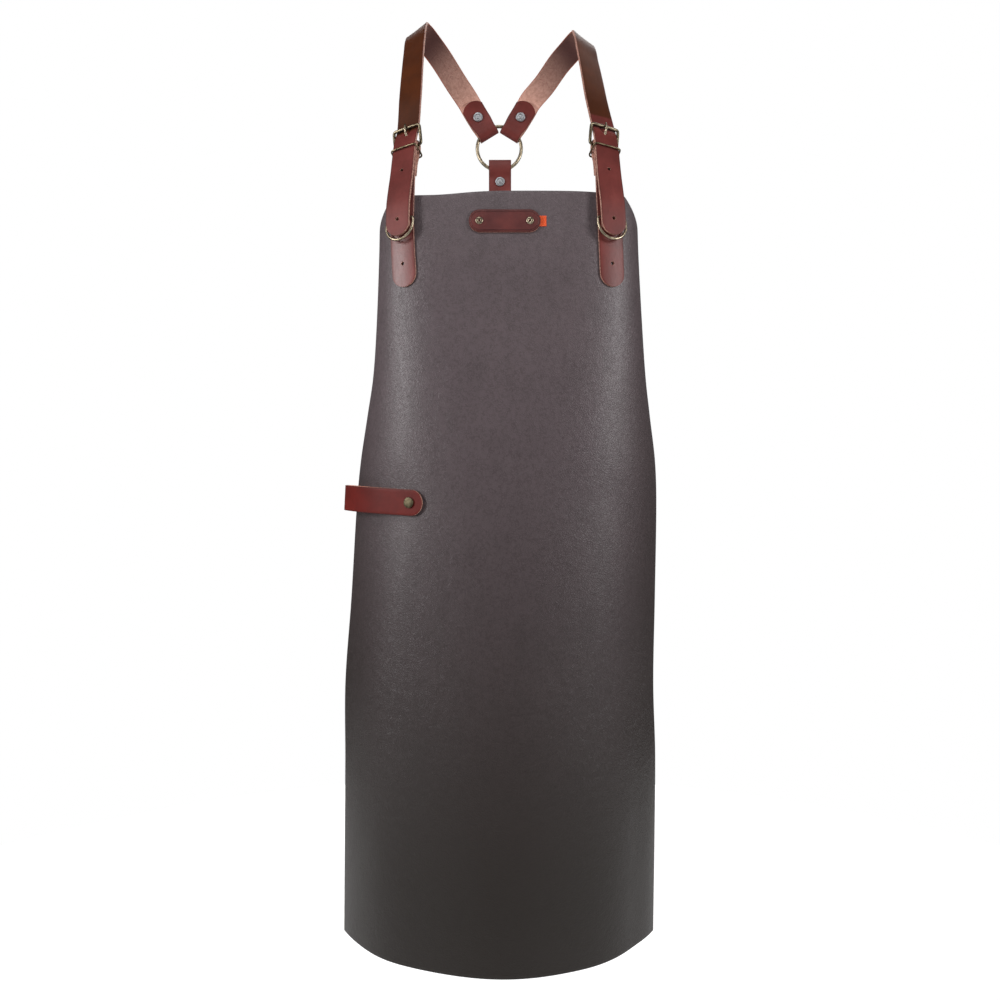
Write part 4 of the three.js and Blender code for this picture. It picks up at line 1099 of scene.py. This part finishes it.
INNER_REACH = sqrt((RING_RADIUS - RING_WIRE) ** 2 - (FOLD_WIDTH / 2 + BACK_OFFSET) ** 2)
FOLD_START = INNER_REACH - FOLD_GAP - STRAP_THICK / 2 + FOLD_ARC
FOLD_END = FOLD_START - FOLD_ARC
LEGS_APART = STRAP_THICK / 2 + GAP
BACK_RIVET_AT = FOLD_END + BACK_RIVET_FROM_FOLD
RING_OUTSIDE = RING_RADIUS + RING_WIRE
LEG_FLAT = RIVET_CAP + 0.8


def back_end(row, along, depth, scale):
    angle = radians(BACK_ANGLE if row["side"] < 0 else 180 - BACK_ANGLE)
    away = Vector((cos(angle), 0, sin(angle)))
    over = Vector((sin(angle), 0, -cos(angle)))
    point = RING_CENTRE + away * along + over * (row["side"] * BACK_OFFSET) + Vector((0, depth, 0))
    return {"point": point, "over": over, "scale": scale}


def shoulder_knots(row):
    heights = [
        (TIP_DROP, TIP_HEIGHT - 0.2),
        (TIP_DROP - 12, TIP_HEIGHT),
        (D_RING_DROP - 6, TIP_HEIGHT),
        (12, TIP_HEIGHT - 0.6),
        (-6, STRAP_HEIGHT + 1.6),
        (-22, STRAP_HEIGHT + 0.1),
        (10 - HINGE_RISE, STRAP_HEIGHT),
        (-HINGE_RISE, STRAP_HEIGHT),
        (-HINGE_RISE - 10, STRAP_HEIGHT - 0.8),
        (-HINGE_RISE - BUCKLE_REACH, TOP_BAR_STRAP),
    ]
    knots = [dict(lane_at(row, PANEL_TOP_Z - down, h), curve=0) for down, h in heights]
    side = row["side"]
    for knot in SHOULDER_KNOTS:
        x = side * (knot["out"] * SHOULDER_HALF + knot["flare"] * row["flare"])
        z = PANEL_TOP_Z + knot["up"] * SHOULDER_RISE + knot["lift"] * row["lift"]
        over = Vector((1, -side * knot["yaw"], -side * knot["roll"])).normalized()
        knots.append({"point": Vector((x, knot["back"] * RING_BACK, z)), "over": over})
    fold, tab_end = FOLD_WIDTH / STRAP_WIDTH, FOLD_END + BACK_TAB_LENGTH
    ahead = [
        (tab_end + 3, -1.5, 1),
        (tab_end - 8, 1, 1),
        (BACK_RIVET_AT + LEG_FLAT, LEGS_APART, 1),
        (BACK_RIVET_AT - LEG_FLAT, LEGS_APART, 1),
        (RING_OUTSIDE + 4, (FOLD_ARC + LEGS_APART) / 2, 0.95),
        (RING_OUTSIDE - 1, FOLD_ARC, fold),
    ]
    turn = [
        (FOLD_START - FOLD_ARC * sin(radians(a)), FOLD_ARC * cos(radians(a)), fold)
        for a in (0, 45, 90, 135, 180)
    ]
    behind = [
        (RING_OUTSIDE - 1, -FOLD_ARC, fold),
        (RING_OUTSIDE + 4, -(FOLD_ARC + LEGS_APART) / 2, 0.95),
        (BACK_RIVET_AT - LEG_FLAT, -LEGS_APART, 1),
        (BACK_RIVET_AT + LEG_FLAT, -LEGS_APART, 1),
        (tab_end, -LEGS_APART - 2.8, 1),
    ]
    return knots + [back_end(row, *place) for place in [*ahead, *turn, *behind]]


def shoulder_strap(row):
    knots = shoulder_knots(row)
    stations = route_stations(knots, 3.0, radians(7))
    lengths = [s["at"] for s in stations]
    bar = TIP_DROP + HINGE_RISE + BUCKLE_REACH
    top = max(stations, key=lambda s: s["point"].z)["at"]
    ring_end = min(
        (s for s in stations if s["at"] > top), key=lambda s: (s["point"] - RING_CENTRE).length
    )["at"]
    grain = strap_grain(
        "strap_grain_" + row["name"], STRAP_WIDTH / 2, gloss=0.2,
        brown=((bar + row["russet"]) * MM, (ring_end - 45) * MM),
    )
    flesh = strap_flesh("strap_flesh_" + row["name"], dark=(top + 18) * MM)
    holes = []
    for drop in HOLE_DROPS["strap"]:
        place = lane_frame(row, PANEL_TOP_Z - drop)
        height = TIP_HEIGHT if drop > 0 else STRAP_HEIGHT
        holes.append(punch(dict(place, origin=in_frame(place, 0, 0, height)), HOLE_RADIUS, 3))
    place = lane_frame(row, HINGE_Z + BUCKLE_REACH * 0.58)
    origin = in_frame(place, 0, 0, STRAP_HEIGHT - 0.6)
    holes.append(punch(dict(place, origin=origin), PRONG_WIRE + 1.1, 3.4, 0.2))
    print("shoulder strap", row["name"], "top at", round(top), "of", round(lengths[-1]), "mm")
    return leather_strip(
        "strap_" + row["name"], knots, STRAP_WIDTH, STRAP_THICK, [grain, flesh, CUT_EDGE],
        (STRAP_WIDTH / 2, STRAP_WIDTH * 0.62), holes,
    )


for row in SIDES:
    stand_for(shoulder_strap(row), "shoulder_strap_" + row["name"])

# %% [markdown]
# Down the back runs one short strap. Its upper end is folded over the foot of the ring and
# riveted; its lower end makes a loop that holds the waist strap. The waist strap lies inside the
# panel's side edges, and goes round the wearer's back.

# %% The back strap and the waist strap
BACK_FOLD_IN = 12
BACK_FOLD_TOP = RING_CENTRE.z - (RING_RADIUS - RING_WIRE - BACK_FOLD_IN)
BACK_RIVET_Z = RING_CENTRE.z - RING_OUTSIDE - 14
BACK_LEAN = 8
WAIST_HOLD = STRAP_THICK + LOOSE_SEAT
WAIST_TOP = WAIST_Z + STRAP_WIDTH / 2
WAIST_LAP = 34
# Free stretch of the waist strap: share of the edge's place sideways, share of the way back.
WAIST_ROUTE = [(0.99, 0.32), (0.93, 0.6), (0.72, 0.86), (0.38, 0.985), (0.13, 1)]
PLAIN_GRAIN = strap_grain("plain_grain", STRAP_WIDTH / 2)
PLAIN_FLESH = strap_flesh("plain_flesh")


def back_knot(z, depth):
    return {"point": Vector((RING_CENTRE.x + 1, RING_BACK + depth, z)), "over": Vector((1, 0, 0))}


def back_strap():
    ring_foot = RING_CENTRE.z - RING_OUTSIDE
    places = [
        (BACK_RIVET_Z - 22, -LEGS_APART),
        (BACK_RIVET_Z, -LEGS_APART),
        (BACK_RIVET_Z + LEG_FLAT, -LEGS_APART),
        (ring_foot + 1, -FOLD_ARC),
    ]
    for angle in (180, 135, 90, 45, 0):
        up = BACK_FOLD_TOP - STRAP_THICK / 2 - FOLD_ARC + FOLD_ARC * sin(radians(angle))
        places.append((up, FOLD_ARC * cos(radians(angle))))
    low = WAIST_Z - STRAP_WIDTH / 2 - GAP
    places += [
        (ring_foot + 1, FOLD_ARC),
        (BACK_RIVET_Z + LEG_FLAT, LEGS_APART),
        (BACK_RIVET_Z, LEGS_APART),
        (BACK_RIVET_Z - 26, LEGS_APART),
        ((BACK_RIVET_Z - 26 + WAIST_TOP + 65) / 2, BACK_LEAN * 0.5),
        (WAIST_TOP + 65, BACK_LEAN + LEGS_APART * 0.6),
        (WAIST_TOP + 35, BACK_LEAN + LEGS_APART),
        (WAIST_TOP + 11, BACK_LEAN + LEGS_APART),
        (WAIST_TOP - 3, BACK_LEAN + WAIST_HOLD),
    ]
    for angle in (0, 45, 90, 135, 180):
        down = low - WAIST_HOLD * sin(radians(angle))
        places.append((down, BACK_LEAN + WAIST_HOLD * cos(radians(angle))))
    places += [
        (WAIST_TOP - 3, BACK_LEAN - WAIST_HOLD),
        (WAIST_TOP + 11, BACK_LEAN - LEGS_APART),
        (WAIST_TOP + 29, BACK_LEAN - LEGS_APART),
    ]
    return leather_strip(
        "strap_down_the_back", [back_knot(z, depth) for z, depth in places], STRAP_WIDTH,
        STRAP_THICK, [PLAIN_GRAIN, PLAIN_FLESH, CUT_EDGE], (STRAP_WIDTH * 0.55, STRAP_WIDTH * 0.55),
    )


def waist_end(side, from_edge, rise):
    half_flat = section_at(WAIST_Z)[2]
    return on_panel(side * (half_flat - from_edge), WAIST_Z + rise)


def waist_strap():
    inner = -PANEL_THICK - LOOSE_SEAT - STRAP_THICK / 2
    knots = []
    for side in (-1, 1):
        made = []
        for share in (1, 0.66, 0.33, 0):
            high, low = (waist_end(side, WAIST_LAP * share, rise)[0] for rise in (9, -9))
            point, over, normal, curve = waist_end(side, WAIST_LAP * share, 0)
            made.append({"point": point + normal * inner, "over": (high - low).normalized()})
        edge = made[-1]["point"]
        for out, back in WAIST_ROUTE:
            y = edge.y + (RING_BACK + BACK_LEAN - edge.y) * back
            made.append({"point": Vector((edge.x * out, y, WAIST_Z)), "over": Vector((0, 0, 1))})
        knots += reversed(made) if side > 0 else made
    point, over, normal, curve = waist_end(1, WAIST_LAP * 0.45, 0)
    place = {"origin": point + normal * inner, "over": over, "up": normal.cross(over), "out": normal}
    return leather_strip(
        "strap_round_the_waist", knots, STRAP_WIDTH, STRAP_THICK,
        [PLAIN_GRAIN, PLAIN_FLESH, CUT_EDGE], (STRAP_WIDTH * 0.6, STRAP_WIDTH * 0.6),
        [punch(place, RIVET_SHANK + GAP, 3)],
    )


stand_for(back_strap(), "back_strap")
stand_for(waist_strap(), "waist_strap")

# %% [markdown]
# The towel loop is a strip folded double on the panel's side. One rivet holds both its ends,
# and the front leg bows out so that a towel fits behind it. The two small loops that hold the
# D-rings are thinner leather, bent once over the bar.

# %% The towel loop and the D-ring loops
TOWEL_FRONT = [
    (-0.15, 0.27),
    (0, 0.27),
    (0.2, 0.36),
    (0.45, 0.62),
    (0.7, 0.86),
    (0.9, 1),
    (1, 0.96),
    (1.05, 0.74),
    (1.01, 0.48),
    (0.9, 0.27),
    (0.7, 0.13),
]
TOWEL_EDGE = section_at(PANEL_TOP_Z - TOWEL_DROP)[2]
TOWEL_GRAIN = strap_grain(
    "towel_loop_grain", TOWEL_WIDTH / 2, creases=0.35, gloss=0.16, dye=LOOP_RED
)
TOWEL_UNDER = INNER_SEAT + TOWEL_THICK / 2
LOOP_GRAIN = strap_grain("small_loop_grain", LOOP_WIDTH / 2)


def towel_place(along, height):
    z = PANEL_TOP_Z - TOWEL_DROP + TOWEL_RISE * along
    across = TOWEL_ACROSS + (-TOWEL_EDGE - 2 - TOWEL_ACROSS) * along
    over = (on_panel(across, z + 9)[0] - on_panel(across, z - 9)[0]).normalized()
    return {"point": over_panel(across, z, height), "over": over}


def towel_loop():
    upper = TOWEL_UNDER + TOWEL_THICK + GAP
    knots = []
    for along, height in TOWEL_FRONT:
        least = upper if along < 0.1 else TOWEL_UNDER
        knots.append(towel_place(along, max(height * TOWEL_OPEN, least)))
    knots += [towel_place(along, TOWEL_UNDER) for along in (0.5, 0.3, 0.1, 0, -0.12)]
    return leather_strip(
        "towel_loop_leather", knots, TOWEL_WIDTH, TOWEL_THICK,
        [TOWEL_GRAIN, PLAIN_FLESH, CUT_EDGE], (TOWEL_WIDTH / 2, TOWEL_WIDTH / 2),
    )


def d_ring_loop(row):
    place = lane_frame(row, D_RING_Z)
    flat = TAB_FACE + GAP + LOOP_THICK / 2
    rise = [
        (LOOP_ARC * cos(radians(a)), BAR_HEIGHT + LOOP_ARC * sin(radians(a)))
        for a in (165, 135, 90, 45, 15)
    ]
    path = [(-10, flat), (-5.5, flat), *rise, (5.5, flat), (12, flat), (24, flat)]
    knots = [{"point": in_frame(place, 0, up, out), "over": place["over"]} for up, out in path]
    return leather_strip(
        "small_loop_" + row["name"], knots, LOOP_WIDTH, LOOP_THICK,
        [LOOP_GRAIN, PLAIN_FLESH, CUT_EDGE], (0, 0), step=1.5,
    )


stand_for(towel_loop(), "towel_loop")
for row in SIDES:
    stand_for(d_ring_loop(row), "d_ring_loop_" + row["name"])

# %% [markdown]
# The label is a stadium of strap leather. Its place for a name stays bare: only a fine pressed
# line runs round inside the edge, as a maker's creasing iron leaves it. Its outline is a flat
# grid with round ends, carried to the panel; the pressed line is an inset of its bump, drawn
# from the distance to the outline in the flat UV map. A ribbon end is tucked under one side.

# %% The label and its ribbon


def label_grain():
    finish = Finish("label_grain")
    place = finish.place()
    flat = finish.place("UV")
    u, v, w = finish.parts(flat)
    half, straight = LABEL_HEIGHT / 2 * MM, (LABEL_LENGTH - LABEL_HEIGHT) / 2 * MM
    beyond = (v.size() - straight).math("MAXIMUM", 0.0)
    from_spine = (u * u + beyond * beyond).math("SQRT")
    line = 1 - (from_spine - (half - 2.3 * MM)).size().ramp(0.0, 0.45 * MM)
    rim = from_spine.ramp(half - 1.7 * MM, half - 0.2 * MM)
    clouds = finish.noise(place, 40.0, 4.0, 0.6)
    pores = finish.noise(place, 1400.0, 3.0, 0.7)
    colour = finish.mix(clouds.ramp(0.3, 0.72), tone("#431817"), tone("#562421"))
    colour = finish.mix(line * 0.7, colour, tone("#260b0a"))
    colour = finish.mix(rim * 0.6, colour, tone("#34110f"))
    relief = pores * 0.4 + clouds * 0.8 - line * 1.6 - rim * 0.8
    finish.set(Base_Color=colour, Roughness=0.42 + pores * 0.12, Specular_IOR_Level=0.3)
    finish.set(Normal=finish.bump(relief, 0.0003))
    return finish.material


def label_rows(length, half, steps=14):
    """(place along, half height) of the stadium's outline."""
    rounded = [(half * (1 - cos(a)), half * sin(a)) for a in [pi / 2 * i / steps for i in range(steps + 1)]]
    rounded[0] = (0.02, half * 0.06)
    inner = [half + (length - 2 * half) * i / 16 for i in range(1, 16)]
    return [*rounded, *((at, half) for at in inner), *((length - at, h) for at, h in rounded[::-1])]


def label_leather():
    rows = label_rows(LABEL_LENGTH, LABEL_HEIGHT / 2)
    bm = bmesh.new()
    layer = bm.loops.layers.uv.new("flat")
    bmesh.ops.create_grid(bm, x_segments=12, y_segments=len(rows) - 1, size=0.5)
    flat = {}
    for vert in bm.verts:
        at, half = rows[round((vert.co.y + 0.5) * (len(rows) - 1))]
        along, rise = at - LABEL_LENGTH / 2, 2 * vert.co.x * half
        flat[vert] = (rise * MM, along * MM)
        z = PANEL_TOP_Z - LABEL_DROP + rise
        vert.co = over_panel(LABEL_ACROSS + along, z, SEAT + LABEL_THICK / 2)
    for face in bm.faces:
        for loop in face.loops:
            loop[layer].uv = flat[loop.vert]
    bm.normal_update()
    if sum(face.normal.y for face in bm.faces) > 0:
        bmesh.ops.reverse_faces(bm, faces=bm.faces)
    obj = new_object("label_leather", bm, [label_grain(), PLAIN_FLESH, CUT_EDGE])
    wall = obj.modifiers.new("wall", "SOLIDIFY")
    wall.thickness, wall.offset = LABEL_THICK * MM, 0
    wall.material_offset, wall.material_offset_rim = 1, 2
    rim = obj.modifiers.new("rim", "BEVEL")
    rim.width, rim.segments = 0.6 * MM, 3
    rim.limit_method, rim.angle_limit = "ANGLE", radians(50)
    return finish_mesh(obj)


def ribbon_end():
    """The ribbon is folded: two layers, the outer one a little short, and a rounded fold."""
    start = LABEL_ACROSS + LABEL_LENGTH / 2 - RIBBON_TUCK
    length = RIBBON_TUCK + RIBBON_PROUD
    bm = bmesh.new()
    layer = bm.loops.layers.uv.new("flat")
    bmesh.ops.create_grid(bm, x_segments=14, y_segments=30, size=0.5)
    flat = {}
    for vert in bm.verts:
        turn = vert.co.y + 0.5
        share = 1 - abs(2 * turn - 1)
        layer_side = 1 if turn > 0.5 else -1
        fold = sqrt(max(0.0, 1 - share**6))
        height = SEAT + RIBBON_THICK / 2 + layer_side * fold * (RIBBON_THICK / 2 - 0.17)
        along = start + length * share
        z = PANEL_TOP_Z - LABEL_DROP + vert.co.x * RIBBON_HEIGHT
        flat[vert] = (vert.co.x * RIBBON_HEIGHT * MM, 2 * turn * length * MM)
        vert.co = over_panel(along, z, height)
    for face in bm.faces:
        for loop in face.loops:
            loop[layer].uv = flat[loop.vert]
    bmesh.ops.recalc_face_normals(bm, faces=bm.faces)
    obj = new_object("ribbon", bm, [RIBBON], 60)
    wall = obj.modifiers.new("wall", "SOLIDIFY")
    wall.thickness, wall.offset = 0.28 * MM, 0
    return finish_mesh(obj, 60)


stand_for(label_leather(), "label")
stand_for(ribbon_end(), "label_ribbon", slot="ribbon")

# %% [markdown]
# The rivets come next. The large ones have a flat cap with a raised disc in its middle; the
# label's are tubular, rolled over at the mouth; the post of the waist strap has a round head.

# %% The rivets


def tab_rivets():
    for row in SIDES:
        place = lane_frame(row, D_RING_Z + 16)
        high = TAB_FACE + GAP + LOOP_THICK + INNER_SEAT
        profile = rivet_profile(-PANEL_THICK - CAP_SEAT, high, 5, 1.2)
        made = turned("tab_pin_" + row["name"], profile, place, [NICKEL])
        stand_for(made, "tab_rivet_" + row["name"], slot="nickel")


def level_frame(point):
    """A frame that faces the front, for the rivets in the back straps."""
    return {"origin": point, "over": Vector((1, 0, 0)), "up": Vector((0, 0, 1)), "out": Vector((0, -1, 0))}


def back_rivets():
    grip = LEGS_APART + STRAP_THICK / 2 + GAP
    for row in SIDES:
        point = back_end(row, BACK_RIVET_AT, 0, 1)["point"]
        made = turned("back_pin_" + row["name"], rivet_profile(-grip, grip), level_frame(point), [NICKEL])
        stand_for(made, "back_rivet_" + row["name"], slot="nickel")
    upper = back_knot(BACK_RIVET_Z, 0)["point"]
    lower = back_knot(WAIST_TOP + 19, BACK_LEAN)["point"]
    for name, point, more in (("back_rivet_middle", upper, 0), ("waist_rivet", lower, 0.3)):
        profile = rivet_profile(-grip - more, grip + more)
        made = turned(name.replace("rivet", "pin"), profile, level_frame(point), [NICKEL])
        stand_for(made, name, slot="nickel")


def panel_frame(across, z):
    point, over, normal, curve = on_panel(across, z)
    return {"origin": point, "over": over, "up": normal.cross(over), "out": normal}


def label_rivets():
    low, high, bore = -PANEL_THICK - INNER_SEAT, SEAT + LABEL_THICK + GAP, 1.2
    cap = LABEL_RIVET_CAP
    roll = [(cap - 1.5 + 1.5 * cos(radians(a)), high + 1.0 * sin(radians(a))) for a in range(0, 181, 20)]
    profile = [(0, low - 0.8), (cap * 0.8, low - 0.8), (cap, low - 0.5), (cap, low)]
    profile += [(RIVET_SHANK, low), (RIVET_SHANK, high), *roll, (bore, high - 0.8), (0, high - 1.2)]
    for name, side in (("left", -1), ("right", 1)):
        across = LABEL_ACROSS + side * LABEL_RIVET_SPACING / 2
        place = panel_frame(across, PANEL_TOP_Z - LABEL_DROP)
        made = turned("label_pin_" + name, profile, place, [PALE_BRASS])
        stand_for(made, "label_rivet_" + name, slot="brass")


def towel_rivet():
    place = panel_frame(TOWEL_ACROSS, PANEL_TOP_Z - TOWEL_DROP)
    high = 2 * INNER_SEAT + 2 * TOWEL_THICK + GAP
    profile = rivet_profile(-PANEL_THICK - INNER_SEAT, high, disc=False)
    made = turned("towel_pin", profile, place, [DARK_BRASS])
    stand_for(made, "towel_rivet", slot="brass")


def waist_post(head_radius=5):
    point, over, normal, curve = waist_end(1, WAIST_LAP * 0.45, 0)
    place = {"origin": point, "over": over, "up": over.cross(normal), "out": -normal}
    base, head = PANEL_THICK + GAP, PANEL_THICK + LOOSE_SEAT + STRAP_THICK + GAP
    dome = [(head_radius * cos(radians(a)), head + 2 + 2 * sin(radians(a))) for a in range(0, 91, 10)]
    profile = [(0, base), (RIVET_SHANK, base), (RIVET_SHANK, head - 0.2), (head_radius * 0.8, head)]
    profile += [(head_radius, head + 0.8), *dome]
    stand_for(turned("waist_stud", profile, place, [NICKEL]), "waist_post", slot="nickel")


tab_rivets()
back_rivets()
label_rivets()
towel_rivet()
waist_post()

# %% [markdown]
# Each buckle is a rectangle of bent wire. Its lower bar is the hinge inside the tab's fold, and
# its upper bar crosses in front of the strap, so the rectangle leans. The prong is one bent pin
# with an eye round the hinge bar. The keeper below it is thinner wire.

# %% The buckles
# The prong's bends: share of the buckle's reach, share of the rise from the eye to over the bar.
PRONG_BENDS = [(0.3, 0), (0.48, 0.17), (0.66, 0.6), (0.84, 0.965), (1, 1), (1.2, 0.93)]
KEEPER_DROP = {"front": 7, "back": 13}


def wire_frame(name, low, high, over, half_x, radius, finish):
    """A closed rectangle of wire between two bars, seen along its leaning plane."""
    along = (high - low).normalized()
    outline = rounded_frame(half_x, (high - low).length / 2, FRAME_CORNER)
    bm = bmesh.new()
    wire(bm, in_plane(outline, (low + high) / 2, over, along), radius, closed=True)
    return new_object(name, bm, [finish], 80)


def buckle(row):
    place = lane_frame(row, HINGE_Z)
    low = in_frame(place, 0, 0, HINGE_HEIGHT)
    high = in_frame(place, 0, BUCKLE_REACH, TOP_BAR_HEIGHT)
    half = WIRE_HALF + BUCKLE_WIRE
    made = wire_frame("buckle_" + row["name"], low, high, place["over"], half, BUCKLE_WIRE, BUCKLE_BRASS)
    stand_for(made, "buckle_frame_" + row["name"], slot="brass")


def prong(row):
    place = lane_frame(row, HINGE_Z)
    low = HINGE_HEIGHT + PRONG_EYE
    rise = TOP_BAR_HEIGHT + BUCKLE_WIRE + GAP + PRONG_WIRE - low
    turn = PRONG_EYE * sqrt(0.5)
    path = [in_frame(place, 0, turn, HINGE_HEIGHT + turn)]
    path += [in_frame(place, 0, BUCKLE_REACH * a, low + rise * b) for a, b in PRONG_BENDS]
    eye = arc(0, 0, PRONG_EYE, 45, 370, 14)
    bm = bmesh.new()
    centre = in_frame(place, 0, 0, HINGE_HEIGHT)
    wire(bm, in_plane(eye, centre, place["up"], place["out"]), PRONG_WIRE, closed=False)
    wire(bm, path, PRONG_WIRE, closed=False, tips=1.0)
    stand_for(
        new_object("prong_" + row["name"], bm, [PALE_BRASS], 80),
        "buckle_prong_" + row["name"], slot="brass",
    )


def keeper(row):
    place = lane_frame(row, HINGE_Z)
    front = STRAP_HEIGHT + STRAP_THICK / 2 + 2 * GAP + KEEPER_WIRE
    behind = HINGE_HEIGHT - HINGE_ARC - STRAP_THICK / 2 - GAP - KEEPER_WIRE
    high = in_frame(place, 0, -KEEPER_DROP["front"], front)
    low = in_frame(place, 0, -KEEPER_DROP["back"], behind)
    half = WIRE_HALF + KEEPER_WIRE
    name = "wire_keeper_" + row["name"]
    made = wire_frame(name, low, high, place["over"], half, KEEPER_WIRE, ANTIQUE_BRASS)
    stand_for(made, "keeper_" + row["name"], slot="brass")


for row in SIDES:
    buckle(row)
    prong(row)
    keeper(row)

# %% [markdown]
# The D-rings hang in their small loops and swing, so each rides on a body of its own. The back
# ring is plain round wire with a welded seam, which lies hidden under a strap.

# %% The rings


def d_ring(row):
    place = lane_frame(row, D_RING_Z)
    half = WIRE_HALF + D_RING_WIRE
    centre_down = -(D_RING_REACH - half)
    outline = [
        *arc(0, centre_down, half, 180, 360, 14),
        *arc(half - RING_CORNER, -RING_CORNER, RING_CORNER, 0, 90, 3),
        (half * 0.5, 0),
        (0, 0),
        (-half * 0.5, 0),
        *arc(-half + RING_CORNER, -RING_CORNER, RING_CORNER, 90, 180, 3),
    ]
    tilt = radians(D_RING_TILT)
    y = place["up"] * cos(tilt) - place["out"] * sin(tilt)
    bm = bmesh.new()
    origin = in_frame(place, 0, 0, BAR_HEIGHT)
    wire(bm, in_plane(outline, origin, place["over"], y), D_RING_WIRE, closed=True)
    name = "d_ring_" + row["name"]
    stand_for(new_object("ring_" + name, bm, [PALE_BRASS], 80), name, body=name, slot="brass")


def back_ring():
    outline = arc(0, 0, RING_RADIUS, 0, 360, 72)
    bm = bmesh.new()
    points = in_plane(outline, RING_CENTRE, Vector((1, 0, 0)), Vector((0, 0, 1)))
    wire(bm, points, RING_WIRE, closed=True, around=20)
    stand_for(new_object("round_ring", bm, [PALE_BRASS], 80), "back_ring", slot="brass")


for row in SIDES:
    d_ring(row)
back_ring()

# %% [markdown]
# The picture is taken as in a small studio: a pale floor in a white room, two tall soft
# boxes at the sides, which draw the long highlights where the panel turns, and a broad soft
# light from above and in front. The camera stands level with the middle of the apron.

# %% The camera
CAMERA_PLACE = Vector((0, -1.115, -0.578))
PIXELS_PER_UNIT = 897
IMAGE_WIDTH = 1000
SENSOR = 36.0


def add_camera():
    data = bpy.data.cameras.new("camera")
    data.sensor_width = SENSOR
    data.lens = SENSOR * PIXELS_PER_UNIT / IMAGE_WIDTH
    data.clip_end = 100
    camera = bpy.data.objects.new("camera", data)
    camera.location = CAMERA_PLACE
    camera.rotation_euler = (radians(90), 0, 0)
    bpy.context.scene.collection.objects.link(camera)
    bpy.context.scene.camera = camera
    print("lens", round(data.lens, 1), "mm")


add_camera()

# %% The floor
FLOOR_Z = -1.45
FLOOR_RADIUS = 1.7


def add_floor():
    """A round pale floor. It glows towards its rim, so that it meets the room without a line. The glow is
    painted light: faint in the middle and at half strength behind the apron, where it lights the apron's
    back.
    """
    finish = Finish("paper_floor")
    place = finish.place()
    x, y, z = finish.parts(place)
    paper = finish.noise(place, 60.0, 2.0, 0.5)
    colour = finish.mix(paper, (0.78, 0.78, 0.78), (0.83, 0.83, 0.83))
    from_middle = (x * x + y * y).math("SQRT")
    # Painted light: the floor glows, faintly in its middle, fully at its rim and at half strength behind
    # the apron, which lights the apron from behind.
    far = from_middle.ramp(0.8, 1.6).math("MAXIMUM", y.ramp(0.2, 0.7) * 0.5)
    glow = finish.mix(far, (0.14, 0.14, 0.14), (1.0, 1.0, 1.0))
    finish.set(Base_Color=colour, Roughness=0.95, Specular_IOR_Level=0.1)
    finish.set(Emission_Color=glow, Emission_Strength=1.0)
    bm = bmesh.new()
    bmesh.ops.create_circle(bm, cap_ends=True, segments=96, radius=FLOOR_RADIUS)
    bmesh.ops.translate(bm, vec=(0, 0, FLOOR_Z), verts=bm.verts)
    bmesh.ops.recalc_face_normals(bm, faces=bm.faces)
    mesh = bpy.data.meshes.new("floor")
    bm.to_mesh(mesh)
    bm.free()
    mesh.materials.append(finish.material)
    floor = bpy.data.objects.new("floor", mesh)
    bpy.context.scene.collection.objects.link(floor)
    print("floor at", FLOOR_Z, "m")


add_floor()

# %% The lights
# Each soft box: name, azimuth from the front in degrees, + to the right; distance and height
# of its middle in metres; width, height of the box; watts.
LIGHT_COLUMNS = ["name", "azimuth", "distance", "height", "width", "tall", "watts"]
LIGHTS = [
    dict(zip(LIGHT_COLUMNS, row))
    for row in [
        ("left_box", -62, 2.2, 0.05, 0.5, 1.2, 50),
        ("right_box", 60, 2.2, 0.05, 0.5, 1.2, 44),
        ("front_top", -6, 2.2, 1.9, 1.4, 0.9, 34),
        ("back_top", 172, 1.8, 1.7, 2.4, 1.4, 44),
    ]
]
AIM = Vector((0, 0, -0.55))
ROOM_LIGHT = 0.11


def add_lights():
    for row in LIGHTS:
        data = bpy.data.lights.new(row["name"], "AREA")
        data.shape = "RECTANGLE"
        data.size, data.size_y, data.energy = row["width"], row["tall"], row["watts"]
        light = bpy.data.objects.new(row["name"], data)
        angle = radians(row["azimuth"])
        away = row["distance"]
        light.location = (away * sin(angle), -away * cos(angle), row["height"])
        toward = AIM - light.location
        if 30 < abs(row["azimuth"]) < 150:
            toward.z = 0
        light.rotation_euler = toward.to_track_quat("-Z", "Y").to_euler()
        bpy.context.scene.collection.objects.link(light)
    world = bpy.data.worlds.new("studio")
    world.use_nodes = True
    room = world.node_tree
    light_path = room.nodes.new("ShaderNodeLightPath")
    seen = room.nodes.new("ShaderNodeMapRange")
    seen.inputs["To Min"].default_value = ROOM_LIGHT
    room.links.new(light_path.outputs["Is Camera Ray"], seen.inputs["Value"])
    room.nodes["Background"].inputs["Color"].default_value = (1, 1, 1, 1)
    room.links.new(seen.outputs["Result"], room.nodes["Background"].inputs["Strength"])
    bpy.context.scene.world = world
    bpy.context.scene.view_settings.view_transform = "Standard"
    print(len(LIGHTS), "soft boxes and a white room")


add_lights()
